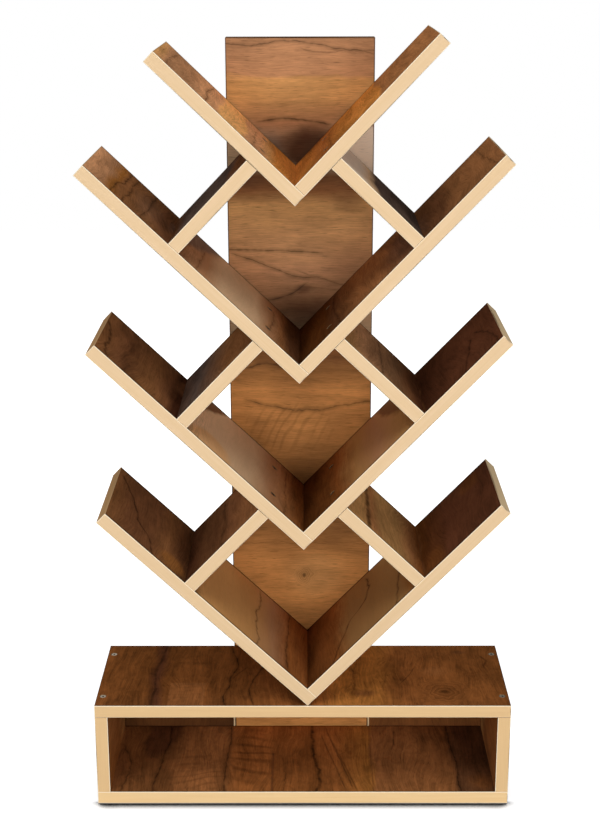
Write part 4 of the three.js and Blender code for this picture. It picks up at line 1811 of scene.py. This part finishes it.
@dataclass(frozen=True)
class BaseBox:
    """The open box at the foot, with two back boards beside the trunk.

    Attributes:
        banded_ends: The edges of its top and bottom boards.
        side_edges: The edges of its side boards, which butt between top and bottom.
        left_back_edges: The edges of its left back board, with tan next to the trunk.
        right_back_edges: The edges of its right back board, with tan next to the trunk.
        back_screws: The places of the back boards' screws, across and up from the floor, in mm.
        back_face: The y of the back boards' rear face, in mm.
        sinking: How deep a screw head sits under the face, in mm.
        trunk_reach: How far the back boards' banding stands out towards the trunk, in mm. It leaves a gap of
            0.3 mm there.
        top_lift: How far the back boards' banding stands up behind the base top, in mm, so that no light
            comes through between the two arrises.
    """

    banded_ends: Edges = Edges(start=Band.WALNUT, end=Band.WALNUT)
    side_edges: Edges = Edges()
    left_back_edges: Edges = Edges(Band.WALNUT, Band.WALNUT, Band.WALNUT, Band.TAN)
    right_back_edges: Edges = Edges(Band.WALNUT, Band.WALNUT, Band.TAN, Band.WALNUT)
    back_screws: tuple[Pair, ...] = ((250.5, 68.0), (200.0, 8.0), (125.0, 8.0))
    back_face: float = 95.65
    sinking: float = 0.3
    trunk_reach: float = 1.0
    top_lift: float = 1.0

    def screws(self) -> list[Screw]:
        """Gives the screws of the back boards, which the CAD leaves to this file.

        Returns:
            The screws.
        """
        found = []
        for side, sign in (("left", -1), ("right", 1)):
            for number, (away, height) in enumerate(self.back_screws, 1):
                head = Vector((sign * away, self.back_face - self.sinking, height)) * MM
                found.append(Screw(f"base_{side}_back_screw_{number}_steel", head, -BACK))
        return found

    def build(self, finishes: Finishes, kit: ScrewKit) -> None:
        """Builds the box's boards.

        Args:
            finishes: The shared finishes.
            kit: The screws.
        """
        boards = [
            ("base_top", Lay.FLAT, self.banded_ends),
            ("base_bottom", Lay.FLAT, self.banded_ends),
            ("base_left_side", Lay.LEFT_SIDE, self.side_edges),
            ("base_right_side", Lay.RIGHT_SIDE, self.side_edges),
            ("base_left_back", Lay.BACK_BOARD, self.left_back_edges),
            ("base_right_back", Lay.BACK_BOARD, self.right_back_edges),
        ]
        for node, lay, edges in boards:
            reach, lift = (self.trunk_reach, self.top_lift) if lay is Lay.BACK_BOARD else (0.0, 0.0)
            tan = finishes.floor_tan if node == "base_bottom" else finishes.base_tan
            Board(node, lay, PRINTS[node], edges, reach=reach, lift=lift).build(finishes, tan, kit)


@dataclass(frozen=True)
class Trunk:
    """The upright board behind everything.

    Attributes:
        edges: Its edges, all banded in walnut.
    """

    edges: Edges = Edges(Band.WALNUT, Band.WALNUT, Band.WALNUT, Band.WALNUT)

    def build(self, finishes: Finishes, kit: ScrewKit) -> None:
        """Builds the trunk."""
        Board("trunk", Lay.TRUNK, PRINTS["trunk"], self.edges, "light_laminate").build(
            finishes, finishes.branch_tan, kit)


@dataclass(frozen=True)
class Tier:
    """One V of branches, with the struts that stand on it.

    Attributes:
        number: 1 is the lowest tier.
        has_struts: Whether struts stand on it.
        left_edges: The left arm's edges. Its print starts at its tip, and its other end lies under the
            right arm, where it shows below.
        right_edges: The right arm's edges. Its print starts where it butts on the left arm.
        strut_edges: A strut's edges. Both its ends butt.
    """

    number: int
    has_struts: bool = True
    left_edges: Edges = Edges(start=Band.TAN, end=Band.TAN)
    right_edges: Edges = Edges(end=Band.TAN)
    strut_edges: Edges = Edges()

    @property
    def stem(self) -> str:
        """Gives the start of its nodes' names."""
        return f"tier_{self.number}"

    def screws(self, kit: ScrewKit) -> list[Screw]:
        """Gives the screws in the feet of the struts, which the CAD makes in one with the struts.

        Args:
            kit: The screws measured so far.

        Returns:
            The foot screws.
        """
        found = []
        for screw in kit.screws:
            if self.has_struts and screw.name.startswith(self.stem) and "_strut_" in screw.name:
                strut = screw.node.split("_strut_")[0] + "_strut"
                reach = float((vertices_of(strut) @ np.array(screw.direction)).max())
                head = screw.head + screw.direction * (reach - screw.head.dot(screw.direction))
                found.append(Screw(screw.name.replace("_screw", "_foot_screw"), head, -screw.direction))
        return found

    def build(self, finishes: Finishes, kit: ScrewKit) -> None:
        """Builds the tier's boards.

        Args:
            finishes: The shared finishes.
            kit: The screws.
        """
        parts = [("left_arm", Lay.FALLING, self.left_edges), ("right_arm", Lay.RISING, self.right_edges)]
        if self.has_struts:
            parts += [("left_strut", Lay.RISING, self.strut_edges),
                      ("right_strut", Lay.FALLING, self.strut_edges)]
        for part, lay, edges in parts:
            node = f"{self.stem}_{part}"
            tan = finishes.right_tan if part == "right_arm" else finishes.branch_tan
            Board(node, lay, PRINTS[node], edges).build(finishes, tan, kit)


@dataclass(frozen=True)
class Lamp:
    """A soft lamp, which faces the shelf's middle.

    Attributes:
        name: Its name.
        place: Its place in metres.
        size: Its width and height in metres.
        power: Its power in watts.
        target: What it faces, in metres.
    """

    name: str
    place: Triple
    size: Pair
    power: float
    target: Triple = (0.0, 0.0, 0.45)

    def build(self) -> None:
        """Builds the lamp."""
        light = bpy.data.lights.new(self.name, "AREA")
        light.shape, light.energy = "RECTANGLE", self.power
        light.size, light.size_y = self.size
        lamp = bpy.data.objects.new(self.name, light)
        lamp.location = self.place
        lamp.rotation_euler = (Vector(self.target) - lamp.location).to_track_quat("-Z", "Y").to_euler()
        bpy.context.scene.collection.objects.link(lamp)


@dataclass(frozen=True)
class Studio:
    """Camera, lights and a white floor.

    Attributes:
        camera_place: The camera's place in metres.
        pitch: How far it looks down, in degrees.
        yaw: How far it looks to the left, in degrees.
        roll: How far it leans, in degrees.
        lens: Its lens in mm.
        sky: The world's strength on the object.
        lamps: The lamps. The low one in front darkens the corners of the branches on the trunk, with painted
            shadow.
        glow: How white the floor looks without light. Its own white is added, so that it is pure white
            except where the shelf shades it.
        floor_paint: The sRGB hex colour of the floor.
        floor_reach: How far the floor reaches to each side, in metres.
        contact: How far from the shelf the painted contact shadow under its front reaches, in metres.
        contact_sky: How much open sky there is where the painted shadow is darkest and where it ends, from 0
            to 1.
        contact_depth: How dark the painted shadow is, from 0 to 1.
        contact_elsewhere: How much of the painted shadow is left behind the shelf's front, from 0 to 1.
        contact_fade: Where it starts and ends to fade there, in metres ahead of and behind the front.
        front: The y of the shelf's front, in metres.
    """

    camera_place: Triple = (0.00434, -1.8469, 1.0417)
    pitch: float = 16.994
    yaw: float = 0.220
    roll: float = -0.123
    lens: float = 67.12
    sky: float = 0.21
    lamps: tuple[Lamp, ...] = (
        Lamp("right", (1.8, -2.6, 1.3), (1.2, 1.2), 28.1),
        Lamp("left", (-1.8, -2.6, 1.3), (1.2, 1.2), 20.7),
        Lamp("low_front", (0.0, -2.6, 0.25), (1.6, 0.6), 20.4),
        Lamp("back", (-0.6, 2.4, 1.5), (1.6, 1.2), 19.6),
        Lamp("top", (0.0, -1.2, 3.0), (1.5, 1.5), 18.3),
    )
    glow: float = 0.86
    floor_paint: str = "e6e6e6"
    floor_reach: float = 4.0
    contact: float = 0.026
    contact_sky: Pair = (0.67, 0.915)
    contact_depth: float = 0.985
    contact_elsewhere: float = 0.15
    contact_fade: Pair = (0.001, 0.006)
    front: float = float(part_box("base_bottom")[0][1])

    def build(self) -> None:
        """Builds the studio."""
        scene = bpy.context.scene
        scene.view_settings.view_transform = "Standard"
        camera = bpy.data.objects.new("camera", bpy.data.cameras.new("camera"))
        camera.data.lens = self.lens
        aim = Euler((math.radians(90 - self.pitch), 0, math.radians(self.yaw))).to_matrix().to_4x4()
        lean = Matrix.Rotation(math.radians(self.roll), 4, "Z")
        camera.matrix_world = Matrix.Translation(self.camera_place) @ aim @ lean
        scene.collection.objects.link(camera)
        scene.camera = camera
        for lamp in self.lamps:
            lamp.build()
        self.build_world()
        self.build_floor()
        log.info("studio ready")

    def shown(self, tree: Tree) -> Node:
        """Gives 1 for what the camera sees, straight or in a shine or through something, and 0 for light.

        Args:
            tree: The node tree.

        Returns:
            The node that holds it.
        """
        path = add_node(tree, "LightPath")
        straight = add_node(tree, "Math", path.outputs["Is Camera Ray"], path.outputs["Is Glossy Ray"],
                            operation="MAXIMUM")
        return add_node(tree, "Math", straight, path.outputs["Is Transmission Ray"], operation="MAXIMUM")

    def build_world(self) -> None:
        """Builds the world: plain light on the object, and white where the camera or a shine sees it."""
        world = bpy.data.worlds.new("studio")
        bpy.context.scene.world = world
        world.use_nodes = True
        tree = world.node_tree
        tree.nodes.clear()
        strength = add_node(tree, "MapRange", self.shown(tree), 0.0, 1.0, self.sky, 1.0)
        add_node(tree, "OutputWorld", add_node(tree, "Background", (1, 1, 1, 1), strength))

    def build_floor(self) -> None:
        """Builds the white floor, which keeps the shelf's shadow, with a painted contact shadow under its
        front.
        """
        work = bmesh.new()
        bmesh.ops.create_grid(work, x_segments=8, y_segments=8, size=self.floor_reach)
        mesh = finished(work, "floor")
        material, tree = empty_material("matt_white_floor")
        shown = self.shown(tree)
        # Painted contact shadow: ambient occlusion darkens the floor's white and glow, mostly in front of the
        # shelf.
        open_sky = add_node(tree, "AmbientOcclusion", named={"Distance": self.contact}, samples=16)
        dark = add_node(tree, "MapRange", open_sky.outputs["AO"], *self.contact_sky, self.contact_depth, 0.0)
        depth = add_node(tree, "SeparateXYZ", add_node(tree, "TexCoord").outputs["Object"]).outputs["Y"]
        ahead = add_node(tree, "MapRange", depth, self.front - self.contact_fade[0],
                         self.front + self.contact_fade[1], 1.0, self.contact_elsewhere)
        ahead = add_node(tree, "Math", ahead, shown, operation="MULTIPLY")
        dark = add_node(tree, "Math", dark, ahead, operation="MULTIPLY")
        clear = add_node(tree, "Math", 1.0, dark, operation="SUBTRACT")
        lit = add_node(tree, "Math", shown, clear, operation="MULTIPLY")
        glow = add_node(tree, "Math", lit, self.glow, operation="MULTIPLY")
        white = add_node(tree, "Mix", clear, (0, 0, 0, 1), linear(self.floor_paint), data_type="RGBA")
        paint = add_node(tree, "BsdfDiffuse", white)
        both = add_node(tree, "AddShader", paint, add_node(tree, "Emission", (1, 1, 1, 1), glow))
        add_node(tree, "OutputMaterial", both)
        material.cycles.emission_sampling = "NONE"
        new_object("floor", mesh, [material])


def main() -> None:
    """Builds the whole scene."""
    logging.basicConfig(level=logging.INFO, format="%(name)s: %(message)s")
    Studio().build()
    finishes = Finishes.build()
    base, trunk = BaseBox(), Trunk()
    tiers = [Tier(1), Tier(2), Tier(3), Tier(4, has_struts=False)]
    kit = ScrewKit(screws=[Screw.measure(node) for node in sorted(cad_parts) if node.endswith("_screw")])
    kit.screws += [screw for tier in tiers for screw in tier.screws(kit)] + base.screws()
    for assembly in (trunk, base, *tiers):
        assembly.build(finishes, kit)
    kit.place(kit.build(finishes))


if __name__ == "__main__":
    main()
